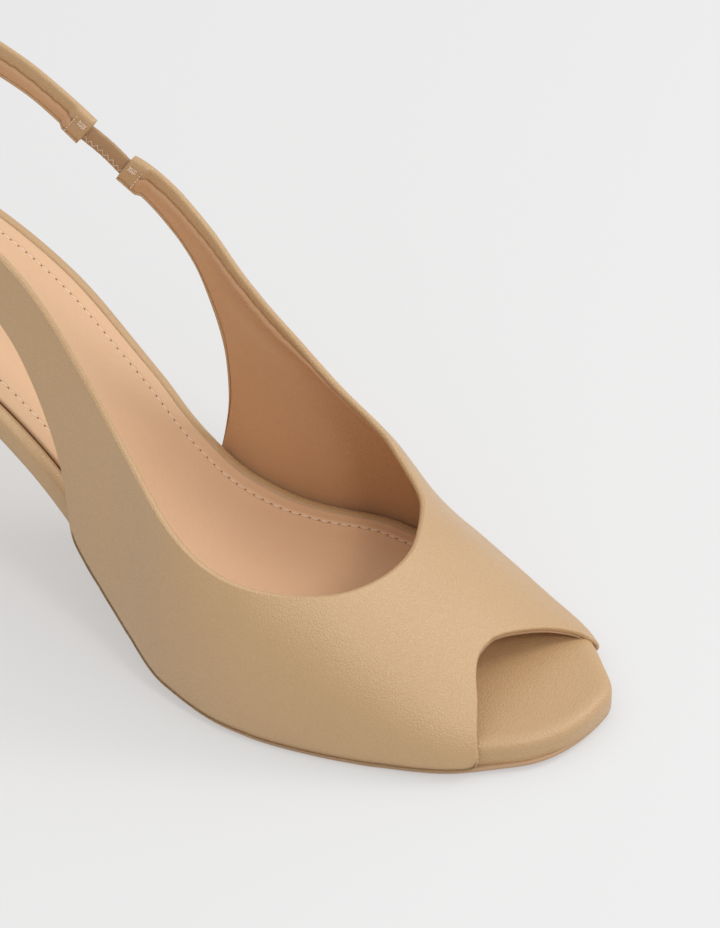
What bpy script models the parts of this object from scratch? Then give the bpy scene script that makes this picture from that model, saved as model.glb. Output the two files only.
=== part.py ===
"""Right slingback sandal with a peep toe, for Blender 4.5. Sizes are metres.

The origin is on the floor under the ball of the foot. +X points to the toe, +Y to the
inner side of the foot and +Z up. Stations are shares of the insole's length from the heel.
"""

import bpy
import numpy as np

# Driving sizes
INSOLE_LENGTH = 0.222      # plan length of the insole
HEEL_X = -0.157            # back of the insole
BALL_WIDTH = 0.081         # nominal width at the ball
SEAT_RISE = 0.0745         # the heel seat above the tread
TREAD_TOP = 0.0075         # insole rim above the floor at the tread
TOE_SPRING = 0.0017        # rise of the toe's tip above the tread
TOE_TIP_Y = 0.004          # the toe's tip, towards the inner side
STRAP_HEIGHT = 0.132       # top of the strap behind the heel
WALL = 0.0017              # leather and lining of the upper
UPPER_OUT = 0.0018         # outer face of the upper beyond the insole's edge
CUFF_WALL = 0.0034         # folded strap ends
CUFF_OUT = 0.0005
CUFF_LENGTH = 0.005
CUFF_SHOULDER = 0.0014     # length over which the band thickens into a cuff
POCKET_DEPTH = 0.0040
ELASTIC_THICK = 0.0010
ELASTIC_WIDE = 0.0058
ELASTIC_PLAY = 0.0003      # clearance of the elastic in its pockets
ELASTIC_CORNER = 0.92      # share of its width, so that its corners clear the pockets' round ends
GAP = 0.0003               # clearance between glued pieces
INSOLE_THICK = 0.0060
RECESS = 0.0012            # seat for the sock lining
RECESS_END = 0.020         # the recess stops under the vamp
RECESS_RAMP = 0.003
SOCK_THICK = 0.0017
SOCK_INSET = 0.0034
SOCK_FRONT = 0.012         # length of the sock's rounded front
SOLE_THICK = 0.0012
SOLE_OUT = 0.0006          # sole edge beyond the insole's edge, under the upper
HEEL_BREAST = -0.112
LIFT_THICK = 0.0050
LIFT_BACK = -0.1535
LIFT_FRONT = -0.1325
LIFT_HALF = 0.0105
HEEL_INSET = 0.0012
RIDGE_Y = -0.003           # the vamp's ridge, towards the outer side
SECTION_POWER = 2.5        # how square the sections are
SLIM_POWER = 1.85          # how square they are high on the inner side, over the ball and the toes
SLIM_SPAN = (0.670, 0.085, 0.970, 0.100)    # stations of that part: start and ramp, end and ramp
SLIM_HEIGHT = (0.250, 0.350)   # share of the section's height where it starts, length of the change
ACROSS = 12                # rows across the band of the upper
STRAP_RIBS = 34
PLATE_STATIONS = 58        # stations along each side of a plate
UNDER_UPPER = (0.400, 1.000)   # stations between which the insole keeps clear of the upper
UNDER_INSET = 0.0008
UNDER_RAMP = (0.040, 0.030)    # share over which that clearance starts and ends
SOLE_UNDER = (0.400, 0.080, 0.955, 0.060)   # where the sole stands out: start and ramp, end and ramp
SOLE_FADE = 0.010          # half width below which the sole's lip fades
FOLD_FADE = 0.004          # height over which the lower border turns from glued to rolled
LIFT_LIP = 0.0002          # the tip's edge beyond the heel's
HEEL_STATIONS = 18
HEEL_LEVELS = 14
REACH = 0.0005             # half step of the slopes that are measured
SOLE_ENDS = (HEEL_X - SOLE_OUT / 2, HEEL_X + INSOLE_LENGTH + SOLE_OUT / 2)

# Station, height of the insole's top as a share of the seat rise
RISE = (
    (0.000, 1.000), (0.064, 0.954), (0.127, 0.903), (0.191, 0.843), (0.255, 0.766), (0.314, 0.667),
    (0.368, 0.544), (0.417, 0.402), (0.463, 0.253), (0.516, 0.120), (0.573, 0.036), (0.636, 0.0078),
    (0.670, 0.0050), (0.694, 0.000), (1.000, 0.000),
)
# Station, rise in front of the flat tread as a share of the toe spring
SPRING = ((0.808, 0.00), (0.832, 0.20), (0.870, 0.34), (1.000, 1.00))
# Station, inner and outer half width as shares of half the ball width
EDGE = (
    (0.000, 0.648, 0.642), (0.150, 0.666, 0.654), (0.280, 0.620, 0.632), (0.390, 0.554, 0.637),
    (0.480, 0.596, 0.765), (0.574, 0.760, 0.975), (0.660, 0.903, 1.047), (0.700, 0.906, 1.032),
    (0.760, 0.855, 0.978), (0.800, 0.805, 0.923), (0.880, 0.688, 0.803), (0.940, 0.628, 0.722),
    (1.000, 0.460, 0.800),
)
HEEL_ROUND = (0.155, 2.4, 2.2)   # share of the length, two powers
TOE_ROUND = (0.200, 3.4, 1.8)
# Station, height of the last's ridge as a share of the strap height
RIDGE = (
    (0.000, 2.273), (0.257, 1.629), (0.347, 1.379), (0.437, 1.121), (0.505, 0.871), (0.559, 0.697),
    (0.622, 0.500), (0.667, 0.413), (0.707, 0.348), (0.775, 0.269), (0.869, 0.159), (0.932, 0.106),
    (1.000, 0.068),
)
# Station, half width of the ankle at the strap as a share of half the ball width
COLLAR = (
    (0.000, 0.617), (0.099, 0.654), (0.212, 0.679), (0.302, 0.696), (0.392, 0.706), (0.482, 0.716),
    (0.617, 0.741),
)
COLLAR_ROUND = (0.131, 2.3, 2.1)
ANKLE_BLEND = (0.617, 0.270)     # share where the ankle's shape starts, length of the change
ANKLE_LIFT = 0.045
# Top line station and height, lower border station and height (heights are shares of the
# strap height, and 0 is the foot line)
INNER_WING = (
    (0.360, 0.748, 0.338, 0.689), (0.380, 0.739, 0.359, 0.668), (0.390, 0.734, 0.370, 0.658),
    (0.417, 0.706, 0.401, 0.621), (0.453, 0.662, 0.436, 0.562), (0.488, 0.607, 0.461, 0.472),
    (0.522, 0.548, 0.475, 0.375), (0.549, 0.501, 0.478, 0.285), (0.574, 0.460, 0.473, 0.201),
    (0.593, 0.432, 0.466, 0.000), (0.618, 0.399, 0.500, 0.000), (0.645, 0.363, 0.563, 0.000),
    (0.672, 0.327, 0.644, 0.000), (0.700, 0.290, 0.725, 0.000), (0.720, 0.263, 0.806, 0.000),
)
# Throat station and turn, peep station and turn (a turn is 1 at the inner foot line, 0 at
# the ridge and -1 at the outer foot line)
VAMP = (
    (0.740, 0.440, 0.883, 1.000), (0.755, 0.306, 0.925, 1.000), (0.761, 0.253, 0.938, 1.000),
    (0.765, 0.205, 0.951, 1.000), (0.768, 0.172, 0.949, 0.800), (0.769, 0.148, 0.942, 0.650),
    (0.771, 0.120, 0.933, 0.580), (0.773, 0.090, 0.920, 0.460),
    (0.773, 0.059, 0.907, 0.362), (0.774, 0.026, 0.891, 0.212), (0.774, -0.008, 0.880, 0.093),
    (0.774, -0.024, 0.874, -0.012), (0.773, -0.045, 0.873, -0.075), (0.772, -0.070, 0.882, -0.190),
    (0.770, -0.095, 0.896, -0.330), (0.768, -0.125, 0.909, -0.570), (0.764, -0.165, 0.917, -0.800),
    (0.759, -0.210, 0.920, -1.000), (0.750, -0.265, 0.878, -1.000), (0.736, -0.335, 0.815, -1.000),
)
OUTER_WING = (
    (0.713, 0.286, 0.743, 0.000), (0.678, 0.296, 0.667, 0.000), (0.650, 0.308, 0.599, 0.000),
    (0.617, 0.329, 0.536, 0.000), (0.586, 0.358, 0.482, 0.000), (0.563, 0.387, 0.446, 0.000),
    (0.545, 0.411, 0.426, 0.000), (0.523, 0.442, 0.422, 0.258), (0.500, 0.482, 0.418, 0.333),
    (0.473, 0.541, 0.410, 0.407), (0.448, 0.602, 0.398, 0.479), (0.423, 0.665, 0.383, 0.552),
    (0.396, 0.735, 0.363, 0.621), (0.365, 0.786, 0.335, 0.683), (0.329, 0.826, 0.302, 0.738),
)
# Station, outer side's upper and lower height, inner side's upper and lower height
STRAP = (
    (0.000, 1.000, 0.933, 1.000, 0.933), (0.041, 0.989, 0.923, 0.989, 0.923),
    (0.099, 0.964, 0.895, 0.964, 0.895), (0.167, 0.927, 0.858, 0.927, 0.858),
    (0.230, 0.890, 0.815, 0.886, 0.814), (0.270, 0.865, 0.774, 0.848, 0.770),
    (0.302, 0.844, 0.738, 0.813, 0.730), (0.329, 0.826, 0.699, 0.780, 0.697),
)
STRAP_START = (0.329, 0.302)     # upper and lower station where the strap leaves the outer wing
STRAP_END = (0.314, 0.293)       # upper and lower station of the strap's end by the elastic
# Inset and depth of each ring of a plate's edge, top to bottom, as shares of its thickness
ROUND_EDGE = ((0.40, 0.00), (0.22, 0.05), (0.08, 0.17), (0.00, 0.38), (0.00, 0.80), (0.14, 1.00))
TOE_EDGE = ((1.30, 0.00), (0.70, 0.07), (0.30, 0.25), (0.04, 0.52), (0.00, 0.80), (0.12, 1.00))
TOE_PAD = (0.800, 0.110)         # station where the padded toe starts, length of the change
THIN_EDGE = ((0.50, 0.00), (0.10, 0.22), (0.00, 0.50), (0.10, 0.80), (0.40, 1.00))

COLOURS = {
    "upper": (0.555, 0.385, 0.235, 1.0),
    "insole": (0.555, 0.385, 0.235, 1.0),
    "sock": (0.640, 0.425, 0.285, 1.0),
    "outsole": (0.420, 0.240, 0.125, 1.0),
    "elastic_gore": (0.500, 0.345, 0.210, 1.0),
    "heel": (0.555, 0.385, 0.235, 1.0),
    "top_lift": (0.120, 0.085, 0.060, 1.0),
}


def column(table, index, at):
    """A smooth curve through one column of a table, without overshoot."""
    rows = np.array(table, float)
    knots, values = rows[:, 0], rows[:, index]
    at = np.clip(at, knots[0], knots[-1])
    step = np.diff(knots)
    slope = np.diff(values) / step
    same = slope[:-1] * slope[1:] > 0
    near, far = step[1:] + 2 * step[:-1], 2 * step[1:] + step[:-1]
    inner = np.zeros(len(slope) - 1)
    inner[same] = ((near + far) / (near / np.where(same, slope[:-1], 1)
                                   + far / np.where(same, slope[1:], 1)))[same]
    tangent = np.concatenate([[slope[0]], inner, [slope[-1]]])
    place = np.clip(np.searchsorted(knots, at, side="right") - 1, 0, len(step) - 1)
    t = (at - knots[place]) / step[place]
    return ((1 + 2 * t) * (1 - t) ** 2 * values[place]
            + t * (1 - t) ** 2 * step[place] * tangent[place]
            + t * t * (3 - 2 * t) * values[place + 1]
            + t * t * (t - 1) * step[place] * tangent[place + 1])


def smooth(share):
    """A soft step from 0 to 1."""
    share = np.clip(share, 0, 1)
    return share * share * (3 - 2 * share)


def station(x):
    """The share of the insole's length at x."""
    return (x - HEEL_X) / INSOLE_LENGTH


def x_at(share):
    """The x of a station."""
    return HEEL_X + share * INSOLE_LENGTH


def rim_height(x):
    """Height of the insole's top."""
    share = station(x)
    return TREAD_TOP + SEAT_RISE * column(RISE, 1, share) + TOE_SPRING * column(SPRING, 1, share)


def stretch(x):
    """Upright thickness for each unit of thickness square to the sole."""
    fall = (rim_height(x + REACH) - rim_height(x - REACH)) / (2 * REACH)
    return np.sqrt(1 + fall ** 2)


def closing(share, shape):
    """Falls from 1 to 0 over an outline's rounded end."""
    length, first, second = shape
    return (1 - np.clip((length - share) / length, 0, 1) ** first) ** (1 / second)


def edge(x, side):
    """The insole's edge in y. Side is 1 for the inner side and -1 for the outer."""
    share = station(x)
    half = np.where(side > 0, column(EDGE, 1, share), column(EDGE, 2, share)) * BALL_WIDTH / 2
    half = half * closing(share, HEEL_ROUND)
    drift = TOE_TIP_Y * np.clip((share - 1 + TOE_ROUND[0]) / TOE_ROUND[0], 0, 1)
    return drift + side * (half - side * drift) * closing(1 - share, TOE_ROUND)


def foot_height(x):
    """Height of the upper's foot, just above the sole."""
    return rim_height(x) - (INSOLE_THICK + GAP) * stretch(x) + GAP


def collar(x):
    """Half width of the ankle where the strap runs."""
    share = station(x)
    return column(COLLAR, 1, share) * BALL_WIDTH / 2 * closing(share, COLLAR_ROUND)


def slimming(x, up):
    """How far the inner side's upper half takes its rounder section."""
    first, first_ramp, last, last_ramp = SLIM_SPAN
    along = smooth((station(x) - first) / first_ramp) * smooth((last - station(x)) / last_ramp)
    return along * smooth((up - SLIM_HEIGHT[0]) / SLIM_HEIGHT[1])


def last_surface(x, turn):
    """The outer face of the upper at a plan position and a turn about the foot."""
    side = np.where(turn < 0, -1.0, 1.0)
    angle = np.pi / 2 * (1 - np.abs(turn))
    out = np.cos(angle) ** (2 / SECTION_POWER)
    up = np.sin(angle) ** (2 / SECTION_POWER)
    slim = np.clip(1 - up ** SLIM_POWER, 0, 1) ** (1 / SLIM_POWER)
    change = slimming(x, up) * (side > 0)
    out = out * (1 - change) + slim * change
    foot = foot_height(x)
    y = RIDGE_Y + (edge(x, side) + side * UPPER_OUT - RIDGE_Y) * out
    z = foot + (column(RIDGE, 1, station(x)) * STRAP_HEIGHT - foot) * up
    blend = smooth((ANKLE_BLEND[0] - station(x)) / ANKLE_BLEND[1]) * smooth((z - foot) / ANKLE_LIFT)
    y = y * (1 - blend) + side * collar(x) * blend
    return np.stack([x, y, z], -1)


def turn_at(x, height, side):
    """The turn at which the last surface reaches a height."""
    foot = foot_height(x)
    share = np.clip((height - foot) / (column(RIDGE, 1, station(x)) * STRAP_HEIGHT - foot), 0, 1)
    return side * (1 - np.arcsin(share ** (SECTION_POWER / 2)) / (np.pi / 2))


def unit(vectors):
    """Vectors of length one."""
    return vectors / np.maximum(np.linalg.norm(vectors, axis=-1, keepdims=True), 1e-12)


def last_normal(x, turn):
    """The outward direction of the last surface."""
    swing = 0.004
    side = np.where(turn < 0, -1.0, 1.0)
    middle = side * np.clip(np.abs(turn), swing * 1.5, 1 - swing * 1.5)
    along = last_surface(x + REACH, middle) - last_surface(x - REACH, middle)
    around = last_surface(x, middle + swing) - last_surface(x, middle - swing)
    normal = unit(np.cross(along, around))
    centre = np.stack([x, np.full_like(x, RIDGE_Y), foot_height(x)], -1)
    facing = np.sign(np.sum(normal * (last_surface(x, turn) - centre), -1, keepdims=True))
    return normal * np.where(facing == 0, 1, facing)


def wing_rows(table, side):
    """Wing rows as plan positions and turns."""
    rows = np.array(table, float)
    top_x, low_x = x_at(rows[:, 0]), x_at(rows[:, 2])
    top = turn_at(top_x, rows[:, 1] * STRAP_HEIGHT, side)
    low = turn_at(low_x, rows[:, 3] * STRAP_HEIGHT, side)
    return np.stack([top_x, top, low_x, low], -1)


def vamp_rows():
    """Vamp rows as plan positions and turns."""
    rows = np.array(VAMP, float)
    return np.stack([x_at(rows[:, 0]), rows[:, 1], x_at(rows[:, 2]), rows[:, 3]], -1)


def front_ribs(steps):
    """Positions and outward directions from the inner strap end over the vamp to the outer wing."""
    rows = np.concatenate([wing_rows(INNER_WING, 1.0), vamp_rows(), wing_rows(OUTER_WING, -1.0)])
    index = np.arange(len(rows), dtype=float)
    table = np.concatenate([index[:, None], rows], 1)
    at = np.arange((len(rows) - 1) * steps + 1) / steps
    ribs = np.stack([column(table, k, at) for k in (1, 2, 3, 4)], -1)
    across = np.linspace(0, 1, ACROSS)[None, :]
    x = ribs[:, 2:3] * (1 - across) + ribs[:, 0:1] * across
    turn = ribs[:, 3:4] * (1 - across) + ribs[:, 1:2] * across
    return last_surface(x, turn), last_normal(x, turn)


def collar_path():
    """The strap's plan line from the outer side round the heel to the inner side."""
    end = x_at(0.45)
    share = (1 - np.cos(np.linspace(0, np.pi / 2, 400))) ** 1.2
    x = HEEL_X + (end - HEEL_X) * share
    half = collar(x)
    line = np.concatenate([np.stack([x, -half], -1)[::-1], np.stack([x, half], -1)[1:]])
    run = np.concatenate([[0], np.cumsum(np.linalg.norm(np.diff(line, axis=0), axis=1))])
    return line, run


def run_at(line, run, x, inner):
    """The run along the strap's plan line at an x on one side."""
    middle = len(line) // 2
    if inner:
        return np.interp(x, line[middle:, 0], run[middle:])
    return np.interp(x, line[:middle + 1, 0][::-1], run[:middle + 1][::-1])


def plan_at(line, run, at):
    """Plan position and outward direction at a run along the line."""
    place = np.stack([np.interp(at, run, line[:, 0]), np.interp(at, run, line[:, 1])], -1)
    ahead = np.stack([np.interp(at + REACH, run, line[:, k]) for k in (0, 1)], -1)
    behind = np.stack([np.interp(at - REACH, run, line[:, k]) for k in (0, 1)], -1)
    along = unit(ahead - behind)
    return place, np.stack([-along[..., 1], along[..., 0]], -1)


def strap_points(upper_run, lower_run, across, line, run):
    """Positions and outward directions of strap ribs between two runs."""
    heights = []
    for at, inner_column, outer_column in ((lower_run, 4, 2), (upper_run, 3, 1)):
        place, _ = plan_at(line, run, at)
        share = station(place[..., 0])
        inner = column(STRAP, inner_column, share)
        outer = column(STRAP, outer_column, share)
        heights.append(np.where(place[..., 1] > 0, inner, outer) * STRAP_HEIGHT)
    at = lower_run[:, None] * (1 - across) + upper_run[:, None] * across
    z = heights[0][:, None] * (1 - across) + heights[1][:, None] * across
    place, out = plan_at(line, run, at)
    points = np.concatenate([place, z[..., None]], -1)
    return points, np.concatenate([out, np.zeros_like(z)[..., None]], -1)


def back_ribs():
    """The strap from the outer wing round the heel to its end by the elastic."""
    line, run = collar_path()
    upper = (run_at(line, run, x_at(STRAP_START[0]), False), run_at(line, run, x_at(STRAP_END[0]), True))
    lower = (run_at(line, run, x_at(STRAP_START[1]), False), run_at(line, run, x_at(STRAP_END[1]), True))
    share = np.linspace(0, 1, STRAP_RIBS + 1)[1:]
    length = upper[1] - upper[0]
    cuff = 1 - np.array([CUFF_LENGTH + CUFF_SHOULDER, CUFF_LENGTH, CUFF_LENGTH / 2]) / length
    share = np.sort(np.concatenate([share[share < cuff[0] - 0.004], cuff, [1.0]]))
    across = np.linspace(0, 1, ACROSS)[None, :]
    return strap_points(upper[0] + length * share, lower[0] + (lower[1] - lower[0]) * share, across,
                        line, run)


def cuff_share(points):
    """1 in the folded strap ends and 0 elsewhere, with a short shoulder."""
    middle = points[:, ACROSS // 2]
    run = np.concatenate([[0], np.cumsum(np.linalg.norm(np.diff(middle, axis=0), axis=1))])
    near = np.minimum(run, run[-1] - run)
    return smooth((CUFF_LENGTH + CUFF_SHOULDER - near) / CUFF_SHOULDER)


def upper_sections():
    """Closed sections of the upper, one after another along the band."""
    front, front_out = front_ribs(2)
    back, back_out = back_ribs()
    face = np.concatenate([front, back])
    out = np.concatenate([front_out, back_out])
    cuff = cuff_share(face)[:, None, None]
    outer = face + out * CUFF_OUT * cuff
    inner = face - out * (WALL + (CUFF_WALL - CUFF_OUT - WALL) * cuff)
    middle = (outer + inner) / 2
    free = 1 - smooth(1 - (face[:, 0, 2] - foot_height(face[:, 0, 0])) / FOLD_FADE)
    swell = (WALL + (CUFF_WALL - WALL) * cuff[:, 0]) * 0.32
    low = middle[:, 0] + unit(middle[:, 0] - middle[:, 1]) * swell * free[:, None]
    high = middle[:, -1] + unit(middle[:, -1] - middle[:, -2]) * swell
    return np.concatenate([outer, high[:, None], inner[:, ::-1], low[:, None]], 1)


def pocket_rings(section, inward):
    """The mouth and the floor of the pocket in a strap end."""
    centre = section.mean(0)
    tall = unit(section[ACROSS - 1] - section[0])
    thick = unit(section[0] - section[2 * ACROSS])
    thick = unit(thick - tall * np.dot(thick, tall))
    high, deep = (section - centre) @ tall, (section - centre) @ thick
    half_tall = ELASTIC_WIDE / 2 + ELASTIC_PLAY
    half_thick = ELASTIC_THICK / 2 + ELASTIC_PLAY
    high = high / np.abs(high).max() * half_tall
    deep = deep / np.abs(deep).max() * half_thick
    mouth = centre + high[:, None] * tall + deep[:, None] * thick
    return mouth, mouth + inward * POCKET_DEPTH


def strap_ends():
    """Centre, upright and outward directions of the two strap ends, and the way between them."""
    sections = upper_sections()
    ends = []
    for section in (sections[0], sections[-1]):
        tall = unit(section[ACROSS - 1] - section[0])
        thick = unit(section[0] - section[2 * ACROSS])
        ends.append((section.mean(0), tall, unit(thick - tall * np.dot(thick, tall))))
    return ends, unit(ends[1][0] - ends[0][0])


def tube_faces(sections, ring):
    """Quads between closed sections."""
    first = np.arange(sections - 1)[:, None] * ring + np.arange(ring)[None, :]
    ahead = np.arange(sections - 1)[:, None] * ring + (np.arange(ring)[None, :] + 1) % ring
    return np.stack([first, ahead, ahead + ring, first + ring], -1).reshape(-1, 4).tolist()


def fan(ring_start, ring, centre, flip):
    """Triangles that close a ring at a centre point."""
    index = ring_start + np.arange(ring)
    ahead = ring_start + (np.arange(ring) + 1) % ring
    middle = np.full(ring, centre)
    order = (ahead, index, middle) if flip else (index, ahead, middle)
    return np.stack(order, -1).tolist()


def plate_outline(x_start, x_end, half, count):
    """A plan outline from the heel along the outer side to the toe and back."""
    share = (1 - np.cos(np.pi * np.arange(1, count + 1) / (count + 1))) / 2
    x = x_start + (x_end - x_start) * share
    outer, inner = half(x, -1.0), half(x, 1.0)
    tips = [half(np.array([end]), 1.0)[0] / 2 + half(np.array([end]), -1.0)[0] / 2
            for end in (x_start, x_end)]
    return np.concatenate([[[x_start, tips[0]]], np.stack([x, outer], -1), [[x_end, tips[1]]],
                           np.stack([x, inner], -1)[::-1]])


def inset(outline, distance):
    """The outline moved in by a distance for each point."""
    along = unit(np.roll(outline, -1, 0) - np.roll(outline, 1, 0))
    inward = np.stack([-along[:, 1], along[:, 0]], -1)
    return outline + inward * np.asarray(distance)[..., None]


def lids(count, last):
    """Strips across the first and the last ring of a plate."""
    faces = []
    for start, flip in ((0, False), (last, True)):
        for i in range(count // 2):
            face = [start + i, start + i + 1, start + (count - i - 1) % count, start + (count - i) % count]
            face = list(dict.fromkeys(face))
            faces.append(face[::-1] if flip else face)
    return faces


def plate_solid(name, outline, rings, slot):
    """A plate from rings of inset and depth below the insole's top, highest ring first."""
    count = len(outline)
    points = []
    for shift, depth in rings:
        plan = inset(outline, shift)
        height = rim_height(plan[:, 0]) - depth * stretch(plan[:, 0])
        points.append(np.concatenate([plan, height[:, None]], 1))
    faces = [face[::-1] for face in tube_faces(len(rings), count)]
    faces += lids(count, (len(rings) - 1) * count)
    return make_object(name, np.concatenate(points), faces, slot)


def make_material(name):
    """One Principled material for a sub-part."""
    material = bpy.data.materials.new(name)
    material.use_nodes = True
    shader = material.node_tree.nodes["Principled BSDF"]
    shader.inputs["Base Color"].default_value = COLOURS[name]
    shader.inputs["Roughness"].default_value = 0.5
    material.diffuse_color = COLOURS[name]
    return material


def make_object(name, points, faces, slot):
    """A named object whose faces look outward."""
    points = np.asarray(points, float)
    volume = 0.0
    for face in faces:
        for k in range(1, len(face) - 1):
            a, b, c = points[face[0]], points[face[k]], points[face[k + 1]]
            volume += float(np.dot(a, np.cross(b, c)))
    if volume < 0:
        faces = [face[::-1] for face in faces]
    mesh = bpy.data.meshes.new(name)
    mesh.from_pydata(points.tolist(), [], faces)
    mesh.materials.append(slot)
    mesh.update()
    item = bpy.data.objects.new(name, mesh)
    bpy.data.collections["slingback_sandal"].objects.link(item)
    return item


def build_upper():
    """Vamp, wings and strap as one band with a wall, closed by two pocketed ends."""
    sections = upper_sections()
    ring = sections.shape[1]
    _, way = strap_ends()
    first_mouth, first_floor = pocket_rings(sections[0], -way)
    last_mouth, last_floor = pocket_rings(sections[-1], way)
    tube = np.concatenate([first_floor[None], first_mouth[None], sections, last_mouth[None],
                           last_floor[None]])
    points = np.concatenate([tube.reshape(-1, 3), [first_floor.mean(0)], [last_floor.mean(0)]])
    faces = tube_faces(len(tube), ring)
    faces += fan(0, ring, len(points) - 2, True)
    faces += fan((len(tube) - 1) * ring, ring, len(points) - 1, False)
    return make_object("upper", points, faces, make_material("upper"))


def build_elastic():
    """The elastic, with an end in each pocket."""
    ends, way = strap_ends()
    reach = POCKET_DEPTH - ELASTIC_PLAY
    (start, tall_a, thick_a), (finish, tall_b, thick_b) = ends
    points = []
    steps = 9
    for share in np.linspace(0, 1, steps):
        middle = (start - way * reach) * (1 - share) + (finish + way * reach) * share
        tall = unit(tall_a * (1 - share) + tall_b * share) * ELASTIC_WIDE / 2 * ELASTIC_CORNER
        thick = unit(thick_a * (1 - share) + thick_b * share) * ELASTIC_THICK / 2
        points += [middle + tall + thick, middle + tall - thick, middle - tall - thick,
                   middle - tall + thick]
    end = 4 * (steps - 1)
    faces = tube_faces(steps, 4) + [[3, 2, 1, 0], [end, end + 1, end + 2, end + 3]]
    return make_object("elastic_gore", points, faces, make_material("elastic_gore"))


def clear_of_upper(outline):
    """The outline moved in a little where the upper's wall stands beside it."""
    share = station(outline[:, 0])
    under = smooth((share - UNDER_UPPER[0]) / UNDER_RAMP[0]) * smooth((UNDER_UPPER[1] - share) / UNDER_RAMP[1])
    return inset(outline, under * UNDER_INSET)


def build_insole():
    """The wrapped platform: a rim, a recess for the sock and a padded toe."""
    outline = plate_outline(HEEL_X, x_at(1.0), edge, PLATE_STATIONS)
    outline = clear_of_upper(outline)
    pad = smooth((station(outline[:, 0]) - TOE_PAD[0]) / TOE_PAD[1])
    rings = []
    for (shift, depth), (toe_shift, toe_depth) in zip(ROUND_EDGE, TOE_EDGE):
        rings.append(((shift + (toe_shift - shift) * pad) * INSOLE_THICK,
                      (depth + (toe_depth - depth) * pad) * INSOLE_THICK))
    sunk = smooth((RECESS_END + RECESS_RAMP - outline[:, 0]) / RECESS_RAMP) * RECESS
    floor = SOCK_INSET + (TOE_EDGE[0][0] * INSOLE_THICK - SOCK_INSET + 2 * GAP) * pad
    top = [(floor, sunk), (floor - GAP, sunk * 0)]
    return plate_solid("insole", outline, top + rings, make_material("insole"))


def sock_half(x, side):
    """The sock's edge: the insole's edge moved in, with a rounded front."""
    front = np.clip((x - RECESS_END + SOCK_FRONT) / SOCK_FRONT, 0, 1)
    return edge(x, side) * (1 - front ** 3) ** (1 / 2.4)


def build_sock():
    """The sock lining, slightly proud of the rim."""
    outline = plate_outline(HEEL_X, RECESS_END, sock_half, PLATE_STATIONS - 8)
    outline = inset(clear_of_upper(outline), np.full(len(outline), SOCK_INSET + GAP))
    top = RECESS - GAP - SOCK_THICK
    rings = [(shift * SOCK_THICK, top + depth * SOCK_THICK) for shift, depth in THIN_EDGE]
    return plate_solid("sock", outline, rings, make_material("sock"))


def build_outsole():
    """The thin sole under insole and upper."""
    outline = plate_outline(*SOLE_ENDS, sole_half, PLATE_STATIONS)
    top = INSOLE_THICK + GAP
    rings = [(shift * SOLE_THICK, top + depth * SOLE_THICK) for shift, depth in THIN_EDGE]
    return plate_solid("outsole", outline, rings, make_material("outsole"))


def sole_half(x, side):
    """The sole's edge: a little beyond the insole where the upper wraps it."""
    start, end = SOLE_ENDS
    inner = HEEL_X + (x - start) / (end - start) * INSOLE_LENGTH
    first, first_ramp, last, last_ramp = SOLE_UNDER
    under = smooth((station(inner) - first) / first_ramp) * smooth((last - station(inner)) / last_ramp)
    fade = np.minimum(1, np.abs(edge(inner, side)) / SOLE_FADE)
    return edge(inner, side) + side * SOLE_OUT * under * fade


def heel_rings():
    """Rings of the heel from the seat down to the lift."""
    share = (1 - np.cos(np.pi * np.arange(0, HEEL_STATIONS + 1) / HEEL_STATIONS)) / 2
    back, front = HEEL_X + HEEL_INSET, HEEL_BREAST
    x_top = back + (front - back) * share
    corner = (1 - np.clip((share - 0.90) / 0.10, 0, 1) ** 3) ** 0.5
    x_low = LIFT_BACK + (LIFT_FRONT - LIFT_BACK) * share
    low_half = LIFT_HALF * (1 - np.abs(2 * share - 1) ** 3.2) ** (1 / 2.6)
    rings = []
    for level in np.linspace(0, 1, HEEL_LEVELS):
        narrow = 1 - (1 - level) ** 2.3
        forward = 1 - (1 - level) ** 1.9
        x = x_top * (1 - forward) + x_low * forward
        loop = []
        for side in (-1.0, 1.0):
            top_half = np.maximum(np.abs(edge(x_top, side)) - HEEL_INSET * np.minimum(1, share * 12), 0)
            half = top_half * corner * (1 - narrow) + low_half * narrow
            loop.append(np.stack([x, side * half], -1))
        plan = np.concatenate([loop[0], loop[1][-2:0:-1]])
        seat_x = np.concatenate([x_top, x_top[-2:0:-1]])
        seat = rim_height(seat_x) - (INSOLE_THICK + SOLE_THICK + 2 * GAP) * stretch(seat_x)
        z = seat * (1 - level) + (LIFT_THICK + GAP) * level
        rings.append(np.concatenate([plan, z[:, None]], 1))
    return np.array(rings)


def build_heel():
    """A plain sculpted block heel that narrows to its lift."""
    rings = heel_rings()
    count = rings.shape[1]
    faces = [face[::-1] for face in tube_faces(len(rings), count)]
    faces += lids(count, (len(rings) - 1) * count)
    return make_object("heel", rings.reshape(-1, 3), faces, make_material("heel"))


def build_lift():
    """The wearing tip, with the heel's lowest outline."""
    low = heel_rings()[-1]
    plan = inset(low[:, :2], np.full(len(low), -LIFT_LIP))
    count = len(plan)
    heights = (LIFT_THICK, 0.0)
    points = np.concatenate([np.concatenate([plan, np.full((count, 1), z)], 1) for z in heights])
    faces = [face[::-1] for face in tube_faces(2, count)]
    faces += lids(count, count)
    return make_object("top_lift", points, faces, make_material("top_lift"))


def main():
    """Clears the scene and builds every sub-part."""
    for item in list(bpy.data.objects):
        bpy.data.objects.remove(item, do_unlink=True)
    group = bpy.data.collections.new("slingback_sandal")
    bpy.context.scene.collection.children.link(group)
    build_upper()
    build_insole()
    build_sock()
    build_outsole()
    build_elastic()
    build_heel()
    build_lift()


main()
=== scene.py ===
"""Looks of a right slingback sandal in sand leather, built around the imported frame.

Lengths are metres. The frame's origin is on the floor under the ball of the foot, +X points to
the toe and +Y to the inner side. Stations are shares of the insole's length from the heel.
"""

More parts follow.
